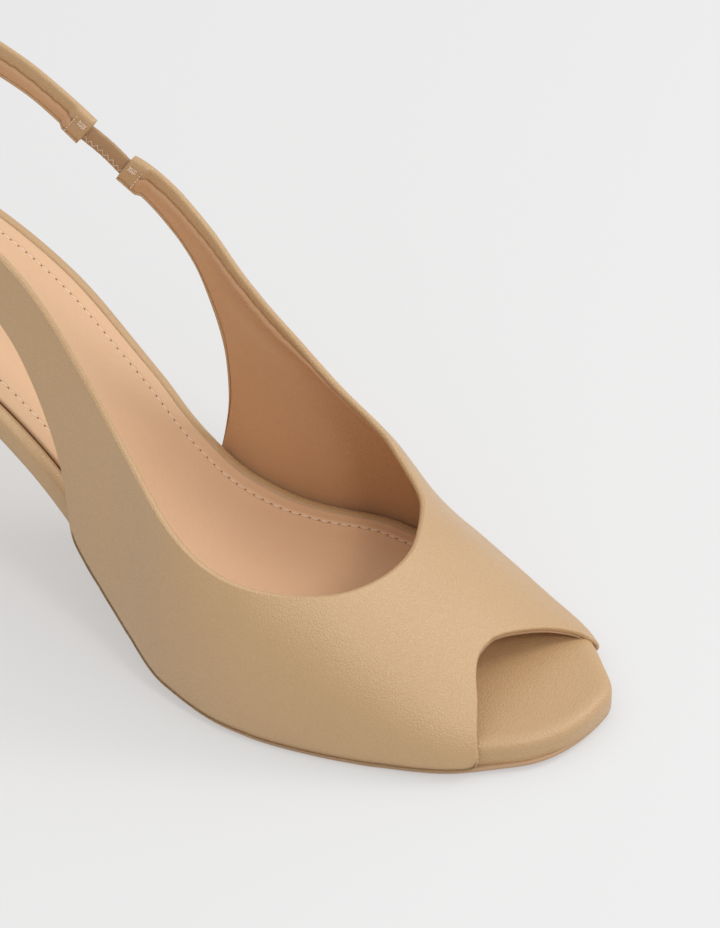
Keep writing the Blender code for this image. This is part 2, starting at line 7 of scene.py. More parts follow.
import logging
from dataclasses import dataclass, field
from enum import Enum

import bpy
import numpy as np
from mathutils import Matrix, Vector

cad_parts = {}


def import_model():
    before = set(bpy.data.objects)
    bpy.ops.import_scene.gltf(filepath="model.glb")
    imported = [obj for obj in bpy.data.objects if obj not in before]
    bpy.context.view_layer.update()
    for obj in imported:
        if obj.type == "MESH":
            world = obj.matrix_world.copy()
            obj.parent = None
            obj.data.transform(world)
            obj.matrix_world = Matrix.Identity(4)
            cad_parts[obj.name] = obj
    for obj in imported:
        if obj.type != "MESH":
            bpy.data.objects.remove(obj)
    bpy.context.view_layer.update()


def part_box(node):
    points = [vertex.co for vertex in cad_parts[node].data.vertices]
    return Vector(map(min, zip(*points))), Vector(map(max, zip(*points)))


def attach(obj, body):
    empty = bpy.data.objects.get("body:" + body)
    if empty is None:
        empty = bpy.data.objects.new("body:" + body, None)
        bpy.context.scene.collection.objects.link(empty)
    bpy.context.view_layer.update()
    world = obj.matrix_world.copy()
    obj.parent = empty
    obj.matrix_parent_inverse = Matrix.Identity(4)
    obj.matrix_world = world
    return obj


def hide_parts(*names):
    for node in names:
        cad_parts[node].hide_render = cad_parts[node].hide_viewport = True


LOG = logging.getLogger("sandal")
Array = np.ndarray
MM = 0.001


class Side(Enum):
    """The two sides of the foot, with the sign of their y."""

    INNER = 1.0
    OUTER = -1.0


class Grain(Enum):
    """How a leather's surface reads."""

    PEBBLED = "pebbled"
    SMOOTH = "smooth"


def column(rows: tuple, index: int, at: Array) -> Array:
    """A curve through one column of a table, monotone between its rows.

    Args:
        rows: the table, with its knots in column 0.
        index: the column that holds the values.
        at: where the curve is wanted.

    Returns:
        Cubic Hermite values with harmonic mean slopes, so that nothing overshoots.
    """
    table = np.array(rows, float)
    knots, values = table[:, 0], table[:, index]
    at = np.clip(at, knots[0], knots[-1])
    step = np.diff(knots)
    slope = np.diff(values) / step
    same = slope[:-1] * slope[1:] > 0
    near, far = step[1:] + 2 * step[:-1], 2 * step[1:] + step[:-1]
    inner = np.zeros(len(slope) - 1)
    inner[same] = ((near + far) / (near / np.where(same, slope[:-1], 1)
                                   + far / np.where(same, slope[1:], 1)))[same]
    tangent = np.concatenate([[slope[0]], inner, [slope[-1]]])
    place = np.clip(np.searchsorted(knots, at, side="right") - 1, 0, len(step) - 1)
    t = (at - knots[place]) / step[place]
    return ((1 + 2 * t) * (1 - t) ** 2 * values[place]
            + t * (1 - t) ** 2 * step[place] * tangent[place]
            + t * t * (3 - 2 * t) * values[place + 1]
            + t * t * (t - 1) * step[place] * tangent[place + 1])


def smooth(share: Array) -> Array:
    """A soft step from 0 to 1: three times the square less twice the cube."""
    share = np.clip(share, 0, 1)
    return share * share * (3 - 2 * share)


def soften(values: Array, spread: float) -> Array:
    """A run of values averaged under a bell curve, with its ends kept by reflecting it there.

    Args:
        values: the run.
        spread: the bell's width, in samples.

    Returns:
        A smoother run of the same length.
    """
    reach = int(4 * spread) + 1
    bell = np.exp(-0.5 * (np.arange(-reach, reach + 1) / spread) ** 2)
    before = 2 * values[0] - values[1:reach + 1][::-1]
    after = 2 * values[-1] - values[-reach - 1:-1][::-1]
    return np.convolve(np.concatenate([before, values, after]), bell / bell.sum(), mode="valid")


def unit(vectors: Array) -> Array:
    """Vectors divided by their own lengths."""
    return vectors / np.maximum(np.linalg.norm(vectors, axis=-1, keepdims=True), 1e-12)


def runs(points: Array) -> Array:
    """Distance along a line of points, from its first point."""
    return np.concatenate([[0.0], np.cumsum(np.linalg.norm(np.diff(points, axis=0), axis=1))])


def ripple(at: Array, pitch: float, phase: float) -> Array:
    """A sine of unit height whose phase wanders, so that no two waves are alike."""
    wander = 1.7 * np.sin(2 * np.pi * at / (pitch * 7.3) + phase * 2)
    return np.sin(2 * np.pi * at / pitch + phase + wander)


def triangle(at: Array) -> Array:
    """A triangle wave between 1 and -1, with a period of 1."""
    return 2 * np.abs(at % 1 * 2 - 1) - 1


def waves(at: Array, table: tuple) -> Array:
    """Several ripples added together, each a row of height, pitch and phase."""
    return sum(height * ripple(at, pitch, phase) for height, pitch, phase in table)


@dataclass
class Last:
    """The shape that every piece follows: sole line, outline, sections and ankle."""

    heel_x: float
    length: float
    ball_width: float = 0.081
    seat_rise: float = 0.0745
    tread_top: float = 0.0075
    toe_spring: float = 0.0017
    toe_tip_y: float = 0.004
    strap_height: float = 0.132
    upper_out: float = 0.0018
    insole_thick: float = 0.0060
    gap: float = 0.0003
    ridge_y: float = -0.003
    section_power: float = 2.5
    slim_power: float = 1.85
    slim_span: tuple = (0.670, 0.085, 0.970, 0.100)
    slim_height: tuple = (0.250, 0.350)
    ankle_lift: float = 0.045
    ankle_blend: tuple = (0.617, 0.270)
    heel_round: tuple = (0.155, 2.4, 2.2)
    toe_round: tuple = (0.200, 3.4, 1.8)
    collar_round: tuple = (0.131, 2.3, 2.1)
    rise: tuple = (
        (0.000, 1.000), (0.064, 0.954), (0.127, 0.903), (0.191, 0.843), (0.255, 0.766),
        (0.314, 0.667), (0.368, 0.544), (0.417, 0.402), (0.463, 0.253), (0.516, 0.120),
        (0.573, 0.036), (0.636, 0.0078), (0.670, 0.0050), (0.694, 0.000), (1.000, 0.000),
    )
    spring: tuple = ((0.808, 0.00), (0.832, 0.20), (0.870, 0.34), (1.000, 1.00))
    outline: tuple = (
        (0.000, 0.648, 0.642), (0.150, 0.666, 0.654), (0.280, 0.620, 0.632), (0.390, 0.554, 0.637),
        (0.480, 0.596, 0.765), (0.574, 0.760, 0.975), (0.660, 0.903, 1.047), (0.700, 0.906, 1.032),
        (0.760, 0.855, 0.978), (0.800, 0.805, 0.923), (0.880, 0.688, 0.803), (0.940, 0.628, 0.722),
        (1.000, 0.460, 0.800),
    )
    ridge: tuple = (
        (0.000, 2.273), (0.257, 1.629), (0.347, 1.379), (0.437, 1.121), (0.505, 0.871),
        (0.559, 0.697), (0.622, 0.500), (0.667, 0.413), (0.707, 0.348), (0.775, 0.269),
        (0.869, 0.159), (0.932, 0.106), (1.000, 0.068),
    )
    collar: tuple = (
        (0.000, 0.617), (0.099, 0.654), (0.212, 0.679), (0.302, 0.696), (0.392, 0.706),
        (0.482, 0.716), (0.617, 0.741),
    )

    def station(self, x: Array) -> Array:
        """The share of the insole's length at x."""
        return (x - self.heel_x) / self.length

    def x_at(self, share: Array) -> Array:
        """The x of a station."""
        return self.heel_x + share * self.length

    def rim_height(self, x: Array) -> Array:
        """Height of the insole's top: the tread, the seat's rise and a little toe spring."""
        share = self.station(x)
        return (self.tread_top + self.seat_rise * column(self.rise, 1, share)
                + self.toe_spring * column(self.spring, 1, share))

    def stretch(self, x: Array) -> Array:
        """Upright thickness for a unit square to the sole: the root of one plus slope squared.

        Args:
            x: plan position along the foot.

        Returns:
            The factor at each position.
        """
        reach = 0.0005
        fall = (self.rim_height(x + reach) - self.rim_height(x - reach)) / (2 * reach)
        return np.sqrt(1 + fall ** 2)

    @staticmethod
    def closing(share: Array, shape: tuple) -> Array:
        """A factor that falls from 1 to 0 as a superellipse over an outline's rounded end."""
        length, first, second = shape
        return (1 - np.clip((length - share) / length, 0, 1) ** first) ** (1 / second)

    def edge(self, x: Array, side: Array) -> Array:
        """The insole's edge in y on a side given by its sign.

        Args:
            x: plan position along the foot.
            side: 1 for the inner side and -1 for the outer.

        Returns:
            The y of the edge: the outline's half width, closed as a superellipse at both ends.
        """
        share = self.station(x)
        half = np.where(side > 0, column(self.outline, 1, share), column(self.outline, 2, share))
        half = half * self.ball_width / 2 * self.closing(share, self.heel_round)
        drift = self.toe_tip_y * np.clip((share - 1 + self.toe_round[0]) / self.toe_round[0], 0, 1)
        return drift + side * (half - side * drift) * self.closing(1 - share, self.toe_round)

    def foot_height(self, x: Array) -> Array:
        """Height of the upper's foot, just above the sole."""
        return self.rim_height(x) - (self.insole_thick + self.gap) * self.stretch(x) + self.gap

    def collar_half(self, x: Array) -> Array:
        """Half width of the ankle where the strap runs."""
        share = self.station(x)
        half = column(self.collar, 1, share) * self.ball_width / 2
        return half * self.closing(share, self.collar_round)

    def slimming(self, x: Array, up: Array) -> Array:
        """How far the inner side's upper half takes its rounder section, from ball to toes.

        Args:
            x: plan position along the foot.
            up: share of the height from foot line to ridge.

        Returns:
            A share from 0 to 1.
        """
        start, start_ramp, end, end_ramp = self.slim_span
        share = self.station(x)
        along = smooth((share - start) / start_ramp) * smooth((end - share) / end_ramp)
        return along * smooth((up - self.slim_height[0]) / self.slim_height[1])

    def surface(self, x: Array, turn: Array) -> Array:
        """The upper's outer face.

        Args:
            x: plan position along the foot.
            turn: 1 at the inner foot line, 0 at the ridge and -1 at the outer foot line.

        Returns:
            Points on a superellipse from the foot line to the ridge, rounder over the inner side's
            upper half, which leans to the ankle's upright wall behind the ball.
        """
        side = np.where(turn < 0, -1.0, 1.0)
        angle = np.pi / 2 * (1 - np.abs(turn))
        out = np.clip(np.cos(angle), 0, 1) ** (2 / self.section_power)
        up = np.clip(np.sin(angle), 0, 1) ** (2 / self.section_power)
        slim = np.clip(1 - up ** self.slim_power, 0, 1) ** (1 / self.slim_power)
        change = self.slimming(x, up) * (side > 0)
        out = out * (1 - change) + slim * change
        foot = self.foot_height(x)
        y = self.ridge_y + (self.edge(x, side) + side * self.upper_out - self.ridge_y) * out
        z = foot + (column(self.ridge, 1, self.station(x)) * self.strap_height - foot) * up
        lean = smooth((self.ankle_blend[0] - self.station(x)) / self.ankle_blend[1])
        lean = lean * smooth((z - foot) / self.ankle_lift)
        return np.stack([x, y * (1 - lean) + side * self.collar_half(x) * lean, z], -1)

    def turn_at(self, x: Array, height: Array, side: float) -> Array:
        """The turn at which the face reaches a height: the superellipse solved for its angle.

        Args:
            x: plan position along the foot.
            height: the height to reach.
            side: 1 for the inner side and -1 for the outer.

        Returns:
            The turn, between the foot line and the ridge.
        """
        foot = self.foot_height(x)
        top = column(self.ridge, 1, self.station(x)) * self.strap_height
        share = np.clip((height - foot) / (top - foot), 0, 1)
        return side * (1 - np.arcsin(share ** (self.section_power / 2)) / (np.pi / 2))

    def normal(self, x: Array, turn: Array) -> Array:
        """The face's outward direction, from the cross product of its two central differences.

        Args:
            x: plan position along the foot.
            turn: the same as for the surface.

        Returns:
            Unit vectors.
        """
        reach, swing = 0.0004, 0.004
        side = np.where(turn < 0, -1.0, 1.0)
        middle = side * np.clip(np.abs(turn), swing * 1.5, 1 - swing * 1.5)
        along = self.surface(x + reach, middle) - self.surface(x - reach, middle)
        around = self.surface(x, middle + swing) - self.surface(x, middle - swing)
        direction = unit(np.cross(along, around))
        centre = np.stack([x, np.full_like(x, self.ridge_y), self.foot_height(x)], -1)
        facing = np.sign(np.sum(direction * (self.surface(x, turn) - centre), -1, keepdims=True))
        return direction * np.where(facing == 0, 1, facing)


@dataclass
class Band:
    """The upper's outer face as ribs from the lower border to the top line.

    It runs from the inner strap end over the vamp to the outer wing, and on round the heel to
    the other strap end. Each rib holds points, outward directions and runs from its lower end.
    """

    last: Last
    front_count: int = 980
    back_count: int = 430
    samples: int = 90
    wall: float = 0.0017
    cuff_wall: float = 0.0034
    cuff_length: float = 0.0050
    shoulder: float = 0.0016
    throat_soft: float = 0.0062
    peep_soft: float = 0.0016
    inner_wing: tuple = (
        (0.360, 0.748, 0.341, 0.698), (0.380, 0.739, 0.362, 0.677), (0.390, 0.734, 0.373, 0.667),
        (0.417, 0.706, 0.403, 0.628), (0.453, 0.662, 0.437, 0.566), (0.488, 0.607, 0.461, 0.472),
        (0.522, 0.548, 0.475, 0.375), (0.549, 0.501, 0.478, 0.285), (0.574, 0.460, 0.473, 0.201),
        (0.593, 0.432, 0.466, 0.000), (0.618, 0.399, 0.500, 0.000), (0.645, 0.363, 0.563, 0.000),
        (0.672, 0.327, 0.644, 0.000), (0.700, 0.290, 0.725, 0.000), (0.720, 0.263, 0.806, 0.000),
    )
    vamp: tuple = (
        (0.740, 0.440, 0.883, 1.000), (0.755, 0.306, 0.925, 1.000), (0.761, 0.253, 0.938, 1.000),
        (0.765, 0.205, 0.951, 1.000), (0.768, 0.172, 0.949, 0.800), (0.769, 0.148, 0.942, 0.650),
        (0.771, 0.120, 0.933, 0.580), (0.773, 0.090, 0.920, 0.460), (0.773, 0.059, 0.907, 0.362),
        (0.774, 0.026, 0.891, 0.212), (0.774, -0.008, 0.880, 0.093),
        (0.774, -0.024, 0.874, -0.012), (0.773, -0.045, 0.873, -0.075),
        (0.772, -0.070, 0.882, -0.190), (0.770, -0.095, 0.896, -0.330),
        (0.768, -0.125, 0.909, -0.570), (0.764, -0.165, 0.917, -0.800),
        (0.759, -0.210, 0.920, -1.000), (0.750, -0.265, 0.878, -1.000),
        (0.736, -0.335, 0.815, -1.000),
    )
    outer_wing: tuple = (
        (0.713, 0.286, 0.743, 0.000), (0.678, 0.296, 0.667, 0.000), (0.650, 0.308, 0.599, 0.000),
        (0.617, 0.329, 0.536, 0.000), (0.586, 0.358, 0.482, 0.000), (0.563, 0.387, 0.446, 0.000),
        (0.545, 0.411, 0.426, 0.000), (0.523, 0.442, 0.422, 0.258), (0.500, 0.482, 0.418, 0.333),
        (0.473, 0.541, 0.410, 0.407), (0.448, 0.602, 0.398, 0.479), (0.423, 0.665, 0.383, 0.552),
        (0.396, 0.735, 0.363, 0.621), (0.365, 0.786, 0.335, 0.683), (0.329, 0.826, 0.302, 0.738),
    )
    strap: tuple = (
        (0.000, 1.000, 0.933, 1.000, 0.933), (0.041, 0.989, 0.923, 0.989, 0.923),
        (0.099, 0.964, 0.895, 0.964, 0.895), (0.167, 0.927, 0.858, 0.927, 0.858),
        (0.230, 0.890, 0.815, 0.886, 0.818), (0.270, 0.865, 0.774, 0.848, 0.777),
        (0.302, 0.844, 0.738, 0.813, 0.738), (0.329, 0.826, 0.699, 0.780, 0.705),
    )
    strap_start: tuple = (0.329, 0.302)
    strap_end: tuple = (0.314, 0.293)
    face: Array = field(init=False)
    out: Array = field(init=False)
    run: Array = field(init=False)
    along: Array = field(init=False)
    thick: Array = field(init=False)
    cuff: Array = field(init=False)
    on_foot: Array = field(init=False)
    is_strap: Array = field(init=False)

    def __post_init__(self) -> None:
        """Works out the ribs of the front and the back and joins them."""
        front, front_out = self.front()
        back, back_out = self.back()
        self.face = np.concatenate([front, back])
        self.out = np.concatenate([front_out, back_out])
        steps = np.linalg.norm(np.diff(self.face, axis=1), axis=-1)
        self.run = np.concatenate([np.zeros((len(steps), 1)), np.cumsum(steps, 1)], 1)
        self.along = runs(self.face[:, self.samples // 2])
        ends = np.minimum(self.along, self.along[-1] - self.along)
        self.cuff = smooth((self.cuff_length + self.shoulder - ends) / self.shoulder)
        self.thick = self.wall + (self.cuff_wall * 0.8 - self.wall) * self.cuff
        foot = self.last.foot_height(self.face[:, 0, 0])
        self.on_foot = smooth(1 - (self.face[:, 0, 2] - foot) / 0.004)
        self.is_strap = smooth((0.024 - self.run[:, -1]) / 0.012)

    def rows(self) -> Array:
        """All rows of the front.

        Returns:
            For each row the plan position and turn of its top end, then those of its low end.
        """
        wings = []
        for table, side in ((self.inner_wing, Side.INNER), (self.outer_wing, Side.OUTER)):
            part = np.array(table, float)
            top_x, low_x = self.last.x_at(part[:, 0]), self.last.x_at(part[:, 2])
            top = self.last.turn_at(top_x, part[:, 1] * self.last.strap_height, side.value)
            low = self.last.turn_at(low_x, part[:, 3] * self.last.strap_height, side.value)
            wings.append(np.stack([top_x, top, low_x, low], -1))
        middle = np.array(self.vamp, float)
        middle[:, [0, 2]] = self.last.x_at(middle[:, [0, 2]])
        return np.concatenate([wings[0], middle, wings[1]])

    def front(self) -> tuple[Array, Array]:
        """Ribs of the wings and the vamp.

        Returns:
            Points and outward directions. The rows are joined by smooth curves, stepped evenly
            along whichever border moves faster, and a rib is straight in plan position and turn.
        """
        rows = self.rows()
        table = np.concatenate([np.arange(len(rows), dtype=float)[:, None], rows], 1)
        dense = np.linspace(0, len(rows) - 1, 6001)
        curves = [column(table, k, dense) for k in (1, 2, 3, 4)]
        top, low = self.last.surface(curves[0], curves[1]), self.last.surface(curves[2], curves[3])
        step = np.maximum(np.linalg.norm(np.diff(top, axis=0), axis=1),
                          np.linalg.norm(np.diff(low, axis=0), axis=1))
        travel = np.concatenate([[0], np.cumsum(step)])
        at = np.interp(np.linspace(0, travel[-1], self.front_count), travel, dense)
        pitch = travel[-1] / (self.front_count - 1)
        ribs = [soften(column(table, k, at), spread / pitch)[:, None]
                for k, spread in ((1, self.throat_soft), (2, self.throat_soft),
                                  (3, self.peep_soft), (4, self.peep_soft))]
        across = np.linspace(0, 1, self.samples)[None, :]
        x = ribs[2] * (1 - across) + ribs[0] * across
        turn = ribs[3] * (1 - across) + ribs[1] * across
        return self.last.surface(x, turn), self.last.normal(x, turn)

    def collar_path(self) -> tuple[Array, Array]:
        """The strap's plan line.

        Returns:
            Its points from the outer side round the heel to the inner side, and their runs.
        """
        share = (1 - np.cos(np.linspace(0, np.pi / 2, 1500))) ** 1.2
        x = self.last.heel_x + (self.last.x_at(0.45) - self.last.heel_x) * share
        half = self.last.collar_half(x)
        line = np.concatenate([np.stack([x, -half], -1)[::-1], np.stack([x, half], -1)[1:]])
        return line, runs(line)

    @staticmethod
    def plan_at(line: Array, run: Array, at: Array) -> tuple[Array, Array]:
        """Plan position and outward direction at a run: the along direction turned by a quarter.

        Args:
            line: plan points of the path.
            run: their distance along it.
            at: the distances asked for.

        Returns:
            The plan points there, and the outward directions.
        """
        reach = 0.0010
        place = np.stack([np.interp(at, run, line[:, k]) for k in (0, 1)], -1)
        ahead = np.stack([np.interp(at + reach, run, line[:, k]) for k in (0, 1)], -1)
        behind = np.stack([np.interp(at - reach, run, line[:, k]) for k in (0, 1)], -1)
        along = unit(ahead - behind)
        return place, np.stack([-along[..., 1], along[..., 0]], -1)

    def back(self) -> tuple[Array, Array]:
        """Ribs of the strap behind the wings.

        Returns:
            Points and outward directions of ribs that stand upright on the ankle's plan line.
        """
        line, run = self.collar_path()
        middle = len(line) // 2
        outer = (line[:middle + 1, 0][::-1], run[:middle + 1][::-1])
        inner = (line[middle:, 0], run[middle:])
        ends = [(np.interp(self.last.x_at(a), *outer), np.interp(self.last.x_at(b), *inner))
                for a, b in zip(self.strap_start, self.strap_end)]
        share = np.linspace(0, 1, self.back_count + 1)[1:]
        upper = ends[0][0] + (ends[0][1] - ends[0][0]) * share
        lower = ends[1][0] + (ends[1][1] - ends[1][0]) * share
        across = np.linspace(0, 1, self.samples)[None, :]
        heights = []
        for at, inner_column, outer_column in ((lower, 4, 2), (upper, 3, 1)):
            place, _ = self.plan_at(line, run, at)
            station = self.last.station(place[:, 0])
            value = np.where(place[:, 1] > 0, column(self.strap, inner_column, station),
                             column(self.strap, outer_column, station))
            heights.append(value[:, None] * self.last.strap_height)
        at = lower[:, None] * (1 - across) + upper[:, None] * across
        z = heights[0] * (1 - across) + heights[1] * across
        place, out = self.plan_at(line, run, at)
        return (np.concatenate([place, z[..., None]], -1),
                np.concatenate([out, np.zeros_like(z)[..., None]], -1))

    def at_run(self, distance: Array) -> tuple[Array, Array]:
        """Points and outward directions at distances along each rib.

        Args:
            distance: one row for each rib, in metres from its lower end.

        Returns:
            Two arrays, linear between the rib's samples.
        """
        wanted = np.clip(distance, 0, self.run[:, -1:])
        below = (self.run[:, None, :] <= wanted[..., None]).sum(-1) - 1
        below = np.clip(below, 0, self.samples - 2)
        rib = np.arange(len(self.run))[:, None]
        start, end = self.run[rib, below], self.run[rib, below + 1]
        share = ((wanted - start) / np.maximum(end - start, 1e-9))[..., None]
        points = self.face[rib, below] * (1 - share) + self.face[rib, below + 1] * share
        out = self.out[rib, below] * (1 - share) + self.out[rib, below + 1] * share
        return points, unit(out)

    def sheet(self, distance: Array, depth: Array, beyond_top: Array, beyond_low: Array) -> Array:
        """Points of a layer: along the rib, under the face and past the rib's ends.

        Args:
            distance: run along the rib from its foot.
            depth: depth under the outer face.
            beyond_top: reach past the top line.
            beyond_low: reach past the lower border.

        Returns:
            One point for each rib and row.
        """
        points, out = self.at_run(distance)
        up = unit(self.face[:, -1] - self.face[:, -4])[:, None]
        down = unit(self.face[:, 0] - self.face[:, 3])[:, None]
        return (points - out * depth[..., None] + up * beyond_top[..., None]
                + down * beyond_low[..., None])


def quads(rows: int, ring: int, closed: bool) -> Array:
    """Faces of a grid of rows, whose rings may be closed.

    Args:
        rows: number of rings.
        ring: points in each.
        closed: whether a ring's last point joins its first.

    Returns:
        Four point numbers for each face.
    """
    width = ring if closed else ring - 1
    first = np.arange(rows - 1)[:, None] * ring + np.arange(width)[None, :]
    ahead = np.arange(rows - 1)[:, None] * ring + (np.arange(width)[None, :] + 1) % ring
    return np.stack([first, ahead, ahead + ring, first + ring], -1).reshape(-1, 4)


def fan(start: int, ring: int, centre: int, flip: bool) -> Array:
    """Triangles that close a ring at one point.

    Args:
        start: number of the ring's first point.
        ring: points in the ring.
        centre: number of the middle point.
        flip: whether the faces turn the other way.

    Returns:
        Three point numbers for each face.
    """
    index = start + np.arange(ring)
    ahead = start + (np.arange(ring) + 1) % ring
    middle = np.full(ring, centre)
    return np.stack((ahead, index, middle) if flip else (index, ahead, middle), -1)


def closed_tube(rings: Array, start: Array | None = None, end: Array | None = None) -> tuple:
    """A tube of closed rings with a fan of triangles over each end.

    Args:
        rings: the rings' points, one ring after another.
        start: the point that closes the first ring, or None for the ring's middle.
        end: the point that closes the last ring, or None for the ring's middle.

    Returns:
        Its points and its groups of faces.
    """
    count, ring = rings.shape[:2]
    start = rings[0].mean(0) if start is None else start
    end = rings[-1].mean(0) if end is None else end
    points = np.concatenate([rings.reshape(-1, 3), start[None], end[None]])
    return points, [quads(count, ring, True), fan(0, ring, count * ring, True),
                    fan((count - 1) * ring, ring, count * ring + 1, False)]


def signed_volume(points: Array, faces: list[Array]) -> float:
    """Six times the volume inside the faces: the sum of the corners' triple products.

    Args:
        points: the mesh's points.
        faces: its faces, in groups of one size.

    Returns:
        The volume, which is negative where the faces point inwards.
    """
    total = 0.0
    for group in faces:
        for k in range(1, group.shape[1] - 1):
            a, b, c = points[group[:, 0]], points[group[:, k]], points[group[:, k + 1]]
            total += float(np.sum(a * np.cross(b, c)))
    return total


def add_piece(name: str, points: Array, faces: list[Array], finish: bpy.types.Material, slot: str,
              replaces: str | None = None, closed: bool = True) -> bpy.types.Object:
    """Makes a mesh object that rides on the frame.

    Args:
        name: the piece's name.
        points: its corners.
        faces: groups of faces, each group an array of equal faces.
        finish: its material.
        slot: not used.
        replaces: the CAD node that it stands for.
        closed: whether its volume tells which way the faces point.

    Returns:
        The object, smooth shaded, with faces outward.
    """
    points = np.asarray(points, float).reshape(-1, 3)
    if closed and signed_volume(points, faces) < 0:
        faces = [group[:, ::-1] for group in faces]
    mesh = bpy.data.meshes.new(name)
    mesh.from_pydata(points.tolist(), [], [face for group in faces for face in group.tolist()])
    mesh.polygons.foreach_set("use_smooth", np.ones(len(mesh.polygons), bool))
    mesh.materials.append(finish)
    mesh.update()
    piece = bpy.data.objects.new(name, mesh)
    bpy.context.scene.collection.objects.link(piece)
    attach(piece, "root")
    if replaces:
        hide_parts(replaces)
    LOG.info("%s: %d faces", name, len(mesh.polygons))
    return piece


@dataclass
class Graph:
    """A material's nodes: its shader, its place in the object and what feeds them."""

    name: str
    made: bpy.types.Material = field(init=False)
    shader: bpy.types.Node = field(init=False)
    place: bpy.types.NodeSocket = field(init=False)

    def __post_init__(self) -> None:
        """Makes the material, and finds its shader and its object coordinates."""
        self.made = bpy.data.materials.new(self.name)
        self.made.use_nodes = True
        self.shader = self.made.node_tree.nodes["Principled BSDF"]
        self.place = self.node("TexCoord").outputs["Object"]

    def feed(self, node: bpy.types.Node, inputs: dict) -> None:
        """Gives a node's inputs their values, and links those that are sockets.

        Args:
            node: the node.
            inputs: a value, or the socket to link, for each input's name or number.
        """
        for key, value in inputs.items():
            if isinstance(value, bpy.types.NodeSocket):
                self.made.node_tree.links.new(value, node.inputs[key])
            else:
                node.inputs[key].default_value = value

    def node(self, kind: str, inputs: dict | None = None, **settings: str) -> bpy.types.Node:
        """Adds a shader node.

        Args:
            kind: its type, without the words that all shader nodes' types start with.
            inputs: values or sockets for its inputs, by name or place.
            settings: its own settings, which are made first.

        Returns:
            The node.
        """
        added = self.made.node_tree.nodes.new("ShaderNode" + kind)
        for key, value in settings.items():
            setattr(added, key, value)
        self.feed(added, inputs or {})
        return added

    def noise(self, scale: float, detail: float) -> bpy.types.Node:
        """Noise in object space."""
        return self.node("TexNoise", {"Vector": self.place, "Scale": scale, "Detail": detail})

    def bump(self, height: bpy.types.NodeSocket, distance: float,
             below: bpy.types.NodeSocket | None = None,
             strength: float = 1.0) -> bpy.types.NodeSocket:
        """A relief over another one, as a normal.

        Args:
            height: the relief's height.
            distance: its full depth.
            below: the normal under it.
            strength: its strength.

        Returns:
            The normal socket.
        """
        inputs = {"Height": height, "Distance": distance, "Strength": strength}
        if below is not None:
            inputs["Normal"] = below
        return self.node("Bump", inputs).outputs["Normal"]


